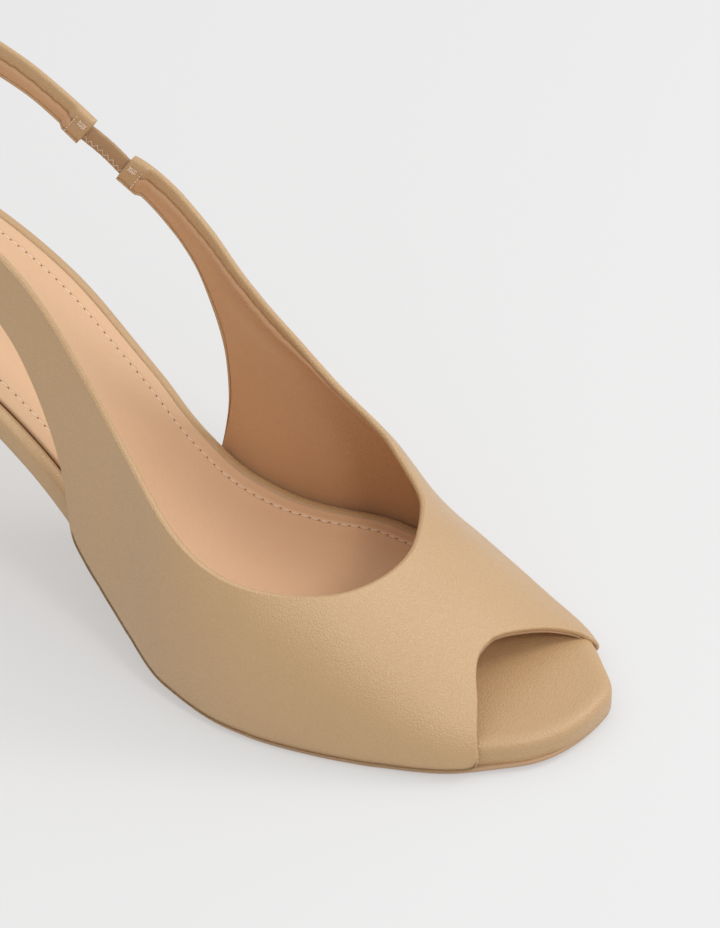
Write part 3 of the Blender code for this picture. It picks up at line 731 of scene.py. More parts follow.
@dataclass(frozen=True)
class Leather:
    """A leather finish: colour, grain, gloss and a slow change of tone."""

    name: str
    colour: tuple
    deep: tuple
    grain: Grain = Grain.PEBBLED
    pebble: float = 0.00044
    relief: float = 0.000066
    crease: float = 0.0
    roughness: float = 0.35
    specular: float = 0.68
    sheen: float = 0.06
    sheen_roughness: float = 0.45
    warp: tuple = (0.35, 1.3)
    dome: tuple = (0.15, 0.78)
    cell_smoothness: float = 0.35
    fine: tuple = (3.2, 0.35)
    soft: tuple = (55.0, 7.0, 0.6)
    crease_width: float = 0.0007
    crease_stretch: tuple = (0.17, 0.17, 1.0)
    drift: tuple = (24.0, 0.35, 0.68)
    pore_tint: tuple = (0.90, 0.86, 0.82, 1.0)
    pore_top: float = 0.45
    gloss_spread: tuple = (0.10, -0.04)

    def relief_normal(self, graph: Graph, dome: bpy.types.NodeSocket) -> bpy.types.NodeSocket:
        """The surface's relief.

        Args:
            graph: the material's nodes.
            dome: the pebbles' height.

        Returns:
            The normal of the pebbles, with fine noise, slow waves and drawn-out creases over them.
        """
        normal = graph.bump(dome, self.relief)
        fine = graph.noise(self.fine[0] / self.pebble, 3.0)
        normal = graph.bump(fine.outputs["Fac"], self.relief * self.fine[1], normal)
        scale, height, strength = self.soft
        slow = graph.noise(scale, 3.0)
        normal = graph.bump(slow.outputs["Fac"], self.relief * height, normal, strength)
        if self.crease > 0:
            drawn = graph.node("Mapping", {"Vector": graph.place, "Scale": self.crease_stretch})
            lines = graph.node("TexNoise", {"Vector": drawn.outputs["Vector"], "Detail": 2.0,
                                            "Scale": 1.0 / self.crease_width, "Distortion": 0.6})
            normal = graph.bump(lines.outputs["Fac"], self.crease, normal)
        return normal

    def colours(self, graph: Graph, dome: bpy.types.NodeSocket) -> bpy.types.NodeSocket:
        """The surface's colour.

        Args:
            graph: the material's nodes.
            dome: the pebbles' height.

        Returns:
            A slow drift between the two tones, a little deeper between the pebbles.
        """
        scale, low, high = self.drift
        spread = graph.node("MapRange", {"Value": graph.noise(scale, 4.0).outputs["Fac"],
                                         "From Min": low, "From Max": high})
        blend = graph.node("Mix", {"A": (*self.colour, 1.0), "B": (*self.deep, 1.0),
                                   "Factor": spread.outputs["Result"]}, data_type="RGBA")
        depth = 0.35 if self.grain is Grain.PEBBLED else 0.18
        valley = graph.node("MapRange", {"Value": dome, "From Min": 0.0, "From Max": self.pore_top,
                                         "To Min": depth, "To Max": 0.0})
        pores = graph.node("Mix", {"A": blend.outputs["Result"], "B": self.pore_tint,
                                   "Factor": valley.outputs["Result"]},
                           data_type="RGBA", blend_type="MULTIPLY")
        return pores.outputs["Result"]

    def material(self) -> bpy.types.Material:
        """The node material.

        Returns:
            A material whose pebbles are cell distances in object space, warped by a noise. They
            shape the relief, the colour and the gloss.
        """
        graph = Graph(self.name)
        share, reach = self.warp
        warp = graph.noise(share / self.pebble, 2.0)
        shift = graph.node("VectorMath", {0: warp.outputs["Color"], 1: (self.pebble * reach,) * 3,
                                          2: graph.place}, operation="MULTIPLY_ADD")
        cells = graph.node("TexVoronoi", {"Vector": shift.outputs["Vector"],
                                          "Scale": 1.0 / self.pebble,
                                          "Smoothness": self.cell_smoothness}, feature="SMOOTH_F1")
        dome = graph.node("MapRange", {"Value": cells.outputs["Distance"], "From Min": self.dome[0],
                                       "From Max": self.dome[1], "To Min": 1.0, "To Max": 0.0},
                          interpolation_type="SMOOTHSTEP").outputs["Result"]
        low, high = self.gloss_spread
        gloss = graph.node("MapRange", {"Value": dome, "To Min": self.roughness + low,
                                        "To Max": self.roughness + high})
        graph.feed(graph.shader, {
            "Normal": self.relief_normal(graph, dome), "Base Color": self.colours(graph, dome),
            "Roughness": gloss.outputs["Result"], "Specular IOR Level": self.specular,
            "Sheen Weight": self.sheen, "Sheen Roughness": self.sheen_roughness})
        return graph.made


@dataclass(frozen=True)
class Thread:
    """Sewing thread: a twisted strand with a soft sheen."""

    name: str
    colour: tuple
    twist: float = 0.00028
    relief: float = 0.00004
    roughness: float = 0.55
    sheen: float = 0.25

    def material(self) -> bpy.types.Material:
        """The node material, with slanted waves as the twist.

        Returns:
            The material.
        """
        graph = Graph(self.name)
        wave = graph.node("TexWave", {"Vector": graph.place, "Scale": 0.16 / self.twist,
                                      "Distortion": 0.6})
        graph.feed(graph.shader, {"Normal": graph.bump(wave.outputs["Fac"], self.relief),
                                  "Base Color": (*self.colour, 1.0),
                                  "Roughness": self.roughness, "Sheen Weight": self.sheen})
        return graph.made


@dataclass(frozen=True)
class Plain:
    """A moulded or cut surface with a fine tooth: sole edge, wearing tip, painted shade of needle
    holes.
    """

    name: str
    colour: tuple
    roughness: float = 0.6
    tooth: float = 0.0004
    relief: float = 0.00003
    worn: float = 0.82

    def material(self) -> bpy.types.Material:
        """The node material, with noise as its tooth and a slight change of tone.

        Returns:
            The material.
        """
        graph = Graph(self.name)
        tooth = graph.noise(1.0 / self.tooth, 4.0).outputs["Fac"]
        worn = (*(c * self.worn for c in self.colour), 1.0)
        tone = graph.node("Mix", {"A": (*self.colour, 1.0), "B": worn, "Factor": tooth},
                          data_type="RGBA")
        graph.feed(graph.shader, {"Normal": graph.bump(tooth, self.relief),
                                  "Base Color": tone.outputs["Result"],
                                  "Roughness": self.roughness})
        return graph.made


@dataclass
class Finishes:
    """Every material of the sandal, made once."""

    sand: bpy.types.Material = field(init=False)
    wrap: bpy.types.Material = field(init=False)
    lining: bpy.types.Material = field(init=False)
    sock: bpy.types.Material = field(init=False)
    elastic: bpy.types.Material = field(init=False)
    heel: bpy.types.Material = field(init=False)
    sole: bpy.types.Material = field(init=False)
    tip: bpy.types.Material = field(init=False)
    thread: bpy.types.Material = field(init=False)
    tan_thread: bpy.types.Material = field(init=False)
    hole_shade: bpy.types.Material = field(init=False)

    def __post_init__(self) -> None:
        """Makes the materials from their finishes."""
        sand, deep = (0.532, 0.338, 0.167), (0.514, 0.323, 0.157)
        self.sand = Leather("sand_nappa", sand, deep, crease=0.00005).material()
        self.wrap = Leather("sand_wrap", sand, deep).material()
        self.heel = Leather("sand_heel_cover", sand, deep).material()
        self.lining = Leather("tan_lining", (0.600, 0.352, 0.188), (0.570, 0.328, 0.172),
                              Grain.SMOOTH, 0.00045, 0.00003, 0.0, 0.50, 0.38, 0.05).material()
        self.sock = Leather("rose_tan_sock", (0.715, 0.462, 0.278), (0.700, 0.448, 0.264),
                            Grain.SMOOTH, 0.0004, 0.00002, 0.0, 0.50, 0.36, 0.05).material()
        self.elastic = Leather("covered_elastic", (0.440, 0.272, 0.145), (0.400, 0.242, 0.126),
                               Grain.SMOOTH, 0.0006, 0.00005, 0.0, 0.55, 0.34, 0.05).material()
        self.sole = Plain("tan_sole", (0.500, 0.310, 0.175), 0.55).material()
        self.tip = Plain("heel_tip", (0.150, 0.105, 0.075), 0.6).material()
        self.thread = Thread("sand_thread", (0.830, 0.640, 0.480)).material()
        self.tan_thread = Thread("tan_thread", (0.620, 0.440, 0.290)).material()
        # Painted shade: a dark brown that stands for the shade inside the sock's needle holes.
        self.hole_shade = Plain("needle_hole_painted_shade", (0.120, 0.060, 0.032), 0.8).material()


@dataclass
class Upper:
    """Vamp, wings and strap: the outer leather turned over its edges, and the lining inside."""

    band: Band
    finishes: Finishes
    leather: float = 0.0008
    seam_run: float = 0.0021
    strap_seam_run: float = 0.0034
    low_run: float = 0.0013
    low_less_peep: float = 0.00095
    low_less_strap: float = 0.0009
    pucker: float = 0.00016
    pucker_waves: tuple = ((0.7, 0.0046, 0.4), (0.5, 0.0023, 1.9))
    pull_waves: tuple = ((0.6, 0.0046, 0.9), (0.4, 0.0023, 2.6))
    groove: float = 0.00085
    face_rows: int = 36
    roll_reach: float = 0.3
    peep_thinner: float = 0.00055
    low_sink: float = 0.0007
    low_sink_less_peep: float = 0.0003
    foot_tuck: float = 0.0009
    foot_tuck_reach: float = 0.0032
    peep_reach: float = 0.0009
    margin_share: float = 1.12
    lip_flat: float = 0.0001
    lip_reach: float = 0.0003
    ridge_height: float = 0.00024
    ridge_wide: float = 0.00034
    ridge_at: float = 0.0015
    ridge_spread: float = 0.0014
    valley_depth: float = 0.00022
    valley_at: float = 0.0064
    valley_spread: float = 0.0022
    pull_height: float = 0.00007
    pull_reach: float = 0.0016
    loose_height: float = 0.0001
    loose_pitch: float = 0.031
    loose_from: float = 0.009
    low_lip: float = 0.00045
    low_lip_less_peep: float = 0.0007
    low_lip_reach: float = 0.0005
    hidden: float = 0.00075
    hidden_less_peep: float = 0.00053
    hidden_reach: float = 0.0015

    def seam(self) -> Array:
        """Run from the top line to the dark seam inside: longer on the strap, and puckered."""
        base = self.seam_run + (self.strap_seam_run - self.seam_run) * self.band.is_strap
        return base + self.pucker * waves(self.band.along, self.pucker_waves)

    def at_peep(self) -> Array:
        """1 along the toe opening and 0 elsewhere.

        Returns:
            A share for each rib.
        """
        place = self.band.face[:, 0]
        forward = smooth((self.band.last.station(place[:, 0]) - 0.868) / 0.004)
        return forward * (1 - self.band.on_foot)

    def low_seam(self) -> Array:
        """Run from the lower border to the lining's edge: short at the toe opening."""
        return (self.low_run - self.low_less_peep * self.at_peep()
                - self.low_less_strap * self.band.is_strap)

    def build_leather(self) -> bpy.types.Object:
        """The outer leather.

        Returns:
            One closed tube. Its section runs along the face, round a half circle at each border
            and back inside to the seam, where it dives under the lining, then returns hidden.
        """
        band = self.band
        count = len(band.run)
        length = band.run[:, -1:]
        thick = band.thick[:, None]
        radius = thick / 2
        zero = np.zeros((count, 1))
        free = (1 - band.on_foot)[:, None]
        peep = self.at_peep()[:, None]
        sections = []

        def rows(distance: Array, depth: Array, top: Array = zero, low: Array = zero) -> None:
            """Adds a group of section rows."""
            shape = (count, max(np.shape(a)[1] for a in (distance, depth, top, low)))
            parts = (distance, depth, top, low)
            sections.append(band.sheet(*(np.broadcast_to(a, shape) for a in parts)))

        angle = np.linspace(0, np.pi, 9)[None, 1:-1]
        swell = np.array([0.0, 0.35, 0.8, 1.0])[None, :]
        low_turn = self.low_seam()[:, None] * np.array([1.5, 1.25, 1.0, 0.6])[None, :]
        thick_low = thick - self.peep_thinner * peep
        rows(low_turn, thick_low - (1 - swell) * (self.low_sink - self.low_sink_less_peep * peep))
        radius_low = thick_low / 2
        reach = free * self.roll_reach * thick - radius_low
        rows(-np.minimum(reach + radius_low * np.sin(angle), 0),
             radius_low + radius_low * np.cos(angle),
             low=np.maximum(reach + radius_low * np.sin(angle), 0))
        share = (1 - np.cos(np.linspace(0.02, 0.98, self.face_rows) * np.pi)) / 2
        distance = length * share[None, :]
        near_foot = np.clip(1 - distance / self.foot_tuck_reach, 0, 1) ** 2
        rows(distance, band.on_foot[:, None] * self.foot_tuck * near_foot)
        reach = self.roll_reach * thick - radius
        rows(length + np.minimum(reach + radius * np.sin(angle), 0),
             radius - radius * np.cos(angle), top=np.maximum(reach + radius * np.sin(angle), 0))
        seam = self.seam()[:, None]
        turned = np.array([0.15, 0.34, 0.53, 0.70, 0.84, 0.93, 0.97, 1.00])[None, :]
        dive = np.array([0.0, -0.06, -0.10, -0.06, 0.08, 0.30, 0.62, 0.95])[None, :] * self.groove
        rows(length - seam * turned, thick - dive)
        back = np.linspace(0.92, 0.06, 7)[None, :]
        rows(low_turn[:, :1] + (length - seam - low_turn[:, :1]) * back,
             np.full_like(thick, self.leather))
        return add_piece("upper_leather", *closed_tube(np.concatenate(sections, 1)),
                         self.finishes.sand, "upper", "upper")

    def build_lining(self) -> bpy.types.Object:
        """The lining.

        Returns:
            One closed tube. From the seam it rises in a soft ridge, falls to a shallow valley
            and runs down to the lower border, where it tucks in.
        """
        band = self.band
        count = len(band.run)
        length = band.run[:, -1:]
        thick = band.thick[:, None]
        seam = self.seam()[:, None]
        wide = 1 - band.is_strap[:, None]
        peep = self.at_peep()[:, None]
        low_margin = (self.low_seam()[:, None] * self.margin_share * (1 - peep)
                      - self.peep_reach * peep)
        span = length - seam - low_margin
        from_seam = np.array([[0.02, 0.12, 0.3, 0.55, 0.9, 1.4, 2.0, 2.7, 3.5, 4.4, 5.4, 6.6,
                               8.0]]) * MM
        from_seam = from_seam * np.minimum(1.0, span / (12 * MM))
        share = np.linspace(0, 1, 34)[None, 1:-1]
        rest = from_seam[:, -1:] + (span - from_seam[:, -1:]) * share
        down = np.concatenate([np.broadcast_to(from_seam, (count, from_seam.shape[1])), rest], 1)
        at = band.along[:, None]
        past_lip = np.maximum(down - self.lip_flat, 0) / self.lip_reach
        lip = -self.groove * np.exp(-past_lip ** 1.5)
        ridge = ((self.ridge_wide * wide + self.ridge_height)
                 * np.exp(-((down - self.ridge_at) / self.ridge_spread) ** 2))
        valley = (-self.valley_depth * wide
                  * np.exp(-((down - self.valley_at) / self.valley_spread) ** 2))
        pull = self.pull_height * waves(at, self.pull_waves) * np.exp(-down / self.pull_reach)
        loose = (self.loose_height * wide * ripple(at + down * 0.6, self.loose_pitch, 0.3)
                 * smooth(down / self.loose_from))
        past_low = np.maximum(span - down, 0) / self.low_lip_reach
        lower = -(self.low_lip - self.low_lip_less_peep * peep) * np.exp(-past_low ** 1.4)
        place = length - seam - down
        depth = thick + lip + ridge + valley + pull + loose + lower
        front = band.sheet(np.maximum(place, 0), depth, np.zeros_like(down),
                           np.maximum(-place, 0))
        place = length - seam - span * np.linspace(1, 0, 10)[None, :]
        near_end = np.exp(-(np.maximum(place, 0) / self.hidden_reach) ** 2)
        depth = thick - (self.hidden - self.hidden_less_peep * peep * near_end)
        back = band.sheet(np.maximum(place, 0), depth, np.zeros_like(place), np.maximum(-place, 0))
        return add_piece("upper_lining", *closed_tube(np.concatenate([front, back], 1)),
                         self.finishes.lining, "upper")


@dataclass
class StrapEnds:
    """The two folded cuffs, the covered elastic between them and their stitches."""

    band: Band
    finishes: Finishes
    cuff_length: float = 0.0046
    cuff_wall: float = 0.0034
    pocket: float = 0.0034
    elastic_wide: float = 0.0058
    elastic_thick: float = 0.0015
    elastic_lift: float = 0.0004
    thread: float = 0.00016
    corner: float = 4.2
    flare: float = 0.00034
    tip_round: float = 0.00022
    low_raise: float = 0.00075
    slot_room: tuple = (0.00015, 0.00012)
    zigzag_pitch: float = 0.0017
    zigzag_low: float = 0.00115
    zigzag_high: float = 0.00062
    zigzag_span: tuple = (0.16, 0.84)
    bartack_turns: int = 5
    bartack_long: float = 0.0021
    bartack_high: float = 0.00085
    bartack_in: float = 0.0019
    bartack_down: float = 0.0017
    row_count: int = 6
    row_in: float = 0.0042
    row_margins: tuple = (0.0009, 0.0010)
    row_stitch: tuple = (0.00095, 0.00013)

    def frames(self, first: bool) -> tuple[Array, Array, Array, Array]:
        """Centres and axes along one strap end, from its inner limit to its tip.

        Args:
            first: whether it is the end by the wing.

        Returns:
            Centres, directions up the band and outward, and half widths.
        """
        band = self.band
        near = band.along if first else band.along[-1] - band.along
        picked = np.flatnonzero(near <= self.cuff_length)
        picked = picked[::-1] if first else picked
        face, out = band.face[picked], band.out[picked]
        middle = band.samples // 2
        normal = unit(out[:, middle])
        centre = (face[:, 0] + face[:, -1]) / 2 - normal * band.thick[picked, None] / 2
        tall = unit(face[:, -1] - face[:, 0])
        half = np.linalg.norm(face[:, -1] - face[:, 0], axis=1) / 2
        return centre, tall, unit(normal - tall * np.sum(normal * tall, -1, keepdims=True)), half

    def build_cuff(self, first: bool, name: str) -> bpy.types.Object:
        """A folded cuff: rounded rectangles along the end, closed by a wall with a slot.

        Args:
            first: whether it is the front one.
            name: the piece's name.

        Returns:
            The piece.
        """
        centre, tall, out, half = self.frames(first)
        count = len(centre)
        angle = np.linspace(0, 2 * np.pi, 49)[:-1]
        power = 2 / self.corner
        side = np.sign(np.cos(angle)) * np.abs(np.cos(angle)) ** power
        up = np.sign(np.sin(angle)) * np.abs(np.sin(angle)) ** power
        share = np.linspace(0, 1, count)
        flare = self.flare * smooth((share - 0.55) / 0.40)[:, None] * (0.5 + 0.5 * up[None, :])
        tip = self.tip_round * smooth((share - 0.94) / 0.06)
        deep = (self.cuff_wall / 2 - 0.10 * MM + 0.10 * MM * share - tip)[:, None] * side[None, :]
        high = (half * 0.97 + 0.06 * MM - tip)[:, None] * up[None, :] + flare
        high = high + self.low_raise * smooth(share / 0.3)[:, None] * (0.5 - 0.5 * up[None, :])
        body = centre[:, None] + tall[:, None] * high[..., None] + out[:, None] * deep[..., None]
        along = unit(centre[-1] - centre[-3])
        slot_high = (self.elastic_wide / 2 + self.slot_room[0]) * up
        slot_deep = (self.elastic_thick / 2 + self.slot_room[1]) * side
        mouth = (centre[-1] + tall[-1] * slot_high[:, None] + out[-1] * slot_deep[:, None]
                 + along * 0.15 * MM)
        floor = mouth - along * self.pocket
        start = centre[0] + (body[0] - centre[0]) * 0.86 - along * 0.05 * MM
        rings = np.concatenate([start[None], body, mouth[None], floor[None]])
        return add_piece(name, *closed_tube(rings), self.finishes.sand, "upper")

    def elastic_path(self, count: int) -> tuple[Array, Array, Array]:
        """Centres and axes of the elastic, straight from pocket to pocket.

        Args:
            count: number of points.

        Returns:
            The middle line, and its upright and outward directions.
        """
        (first, first_tall, first_out, _), (last, last_tall, last_out, _) = (
            self.frames(True), self.frames(False))
        start, finish = first[-1], last[-1]
        way = unit(finish - start)
        share = np.linspace(0, 1, count)[:, None]
        inside = self.pocket - 0.4 * MM
        centre = (start - way * inside) * (1 - share) + (finish + way * inside) * share
        arch = np.sin(np.pi * np.clip(share * 1.6 - 0.3, 0, 1))
        centre = centre + first_tall[-1] * (self.elastic_lift * arch)
        tall = unit(first_tall[-1] * (1 - share) + last_tall[-1] * share)
        out = unit(first_out[-1] * (1 - share) + last_out[-1] * share)
        tall = unit(tall - way * np.sum(tall * way, -1, keepdims=True))
        out = unit(out - way * np.sum(out * way, -1, keepdims=True))
        return centre, tall, out

    def build_elastic(self) -> bpy.types.Object:
        """The covered elastic: a flat rounded section with shallow cross ribs of gathered cover.

        Returns:
            The piece.
        """
        count = 160
        centre, tall, out = self.elastic_path(count)
        angle = np.linspace(0, 2 * np.pi, 41)[:-1]
        run = runs(centre)[:, None]
        gather = 1 + 0.035 * ripple(run, 0.0011, 0.7)
        side = np.sign(np.cos(angle)) * np.abs(np.cos(angle)) ** 0.8
        up = np.sign(np.sin(angle)) * np.abs(np.sin(angle)) ** 0.62
        deep = self.elastic_thick / 2 * gather * side[None, :]
        high = self.elastic_wide / 2 * (1 + 0.012 * ripple(run, 0.0023, 2.0)) * up[None, :]
        rings = centre[:, None] + tall[:, None] * high[..., None] + out[:, None] * deep[..., None]
        return add_piece("elastic_cover", *closed_tube(rings), self.finishes.elastic,
                         "elastic_gore", "elastic_gore")

    def build_zigzag(self) -> bpy.types.Object:
        """The zigzag row on the elastic's inner face: a round thread along a triangle wave.

        Returns:
            The piece.
        """
        count = 420
        centre, tall, out = self.elastic_path(count)
        keep = slice(*(int(count * share) for share in self.zigzag_span))
        centre, tall, out = centre[keep], tall[keep], out[keep]
        run = runs(centre)
        saw = triangle(run / self.zigzag_pitch)
        high = -self.zigzag_low + self.zigzag_high * saw + 0.1 * MM * ripple(run, 0.004, 0.2)
        line = centre + tall * high[:, None] - out * (self.elastic_thick / 2 + 0.05 * MM)
        return tube_piece("elastic_zigzag", line, out, self.thread, self.finishes.tan_thread,
                          "elastic_gore")

    def build_bartack(self, first: bool, name: str) -> bpy.types.Object:
        """The bartack by the cuff's upper inner corner: one thread along a close triangle wave.

        Args:
            first: whether it is on the front cuff.
            name: the piece's name.

        Returns:
            The piece.
        """
        centre, tall, out, half = self.frames(first)
        middle, up, outward = centre[-1], tall[-1], out[-1]
        along = unit(centre[-1] - centre[-3])
        step = np.linspace(0, 1, 420)
        saw = triangle(step * self.bartack_turns)
        depth = (self.cuff_wall / 2 + 0.08 * MM + 0.07 * MM * (1 - saw ** 4)
                 + 0.03 * MM * ripple(step, 0.11, 0.1))
        spot = middle - along * self.bartack_in + up * (half[-1] - self.bartack_down)
        forward = (step - 0.5) * self.bartack_long + 0.12 * MM * ripple(step, 0.17, 0.6)
        high = self.bartack_high * saw * (1 + 0.12 * ripple(step, 0.3, 1.2))
        line = spot + along * forward[:, None] + up * high[:, None] - outward * depth[:, None]
        return tube_piece(name, line, np.broadcast_to(outward, line.shape), self.thread * 0.85,
                          self.finishes.thread, "upper")

    def build_cuff_row(self, first: bool, name: str) -> bpy.types.Object:
        """The row of short stitches across the cuff's inner face.

        Args:
            first: whether it is on the front cuff.
            name: the piece's name.

        Returns:
            The piece.
        """
        centre, tall, out, half = self.frames(first)
        along = unit(centre[-1] - centre[-3])
        low, high = self.row_margins
        heights = np.linspace(-half[-1] + low, half[-1] - high, self.row_count)
        spots = (centre[-1] - along * self.row_in + tall[-1] * heights[:, None]
                 - out[-1] * (self.cuff_wall / 2 + 0.04 * MM))
        return stitch_piece(name, spots, np.broadcast_to(tall[-1], spots.shape),
                            np.broadcast_to(-out[-1], spots.shape), *self.row_stitch,
                            self.finishes.thread, "upper")

    def build(self) -> None:
        """Builds both cuffs, the elastic and all their threads."""
        self.build_elastic()
        self.build_zigzag()
        for first, side in ((True, "front"), (False, "back")):
            self.build_cuff(first, f"cuff_{side}")
            self.build_bartack(first, f"bartack_{side}")
            self.build_cuff_row(first, f"cuff_stitches_{side}")


def tube_piece(name: str, line: Array, up: Array, radius: float, finish: bpy.types.Material,
               slot: str) -> bpy.types.Object:
    """A round thread: circles of eight points square to a line, closed at both ends.

    Args:
        name: the piece's name.
        line: the thread's middle line.
        up: the surface's outward directions.
        radius: the thread's radius.
        finish: its material.
        slot: not used.

    Returns:
        The piece.
    """
    along = unit(np.gradient(line, axis=0))
    side = unit(np.cross(along, up))
    rise = np.cross(side, along)
    angle = np.linspace(0, 2 * np.pi, 9)[:-1]
    rings = (line[:, None] + side[:, None] * (radius * np.cos(angle))[None, :, None]
             + rise[:, None] * (radius * np.sin(angle))[None, :, None])
    return add_piece(name, *closed_tube(rings, line[0], line[-1]), finish, slot)


def stitch_piece(name: str, spots: Array, along: Array, up: Array, length: float, radius: float,
                 finish: bpy.types.Material, slot: str) -> bpy.types.Object:
    """Separate stitches: one small capsule for each spot.

    Args:
        name: the piece's name.
        spots: the stitches' middles.
        along: their directions.
        up: the surface's outward directions.
        length: a stitch's length.
        radius: the thread's radius.
        finish: the thread's material.
        slot: not used.

    Returns:
        One mesh. A stitch is an ellipse swept end to end, whose ends dip into the leather.
    """
    along, up = unit(along), unit(up)
    side = unit(np.cross(along, up))
    share = np.linspace(-1, 1, 9)
    thin = np.sqrt(np.clip(1 - np.abs(share) ** 3, 0.02, 1))
    dip = -0.9 * radius * share ** 4
    angle = np.linspace(0, 2 * np.pi, 9)[:-1]
    across = (radius * thin[:, None] * np.cos(angle))[None, ..., None]
    height = (radius * thin[:, None] * np.sin(angle) + dip[:, None])[None, ..., None]
    shape = (spots[:, None, None] + along[:, None, None] * (share * length / 2)[None, :, None, None]
             + side[:, None, None] * across + up[:, None, None] * height)
    rows, ring = len(share), len(angle)
    size = rows * ring
    start = np.arange(len(spots))[:, None, None] * size
    faces = (quads(rows, ring, True)[None] + start).reshape(-1, 4)
    caps = np.stack([np.arange(ring), np.arange(ring)[::-1] + size - ring])
    caps = (caps[None] + start).reshape(-1, ring)
    return add_piece(name, shape, [faces, caps], finish, slot)


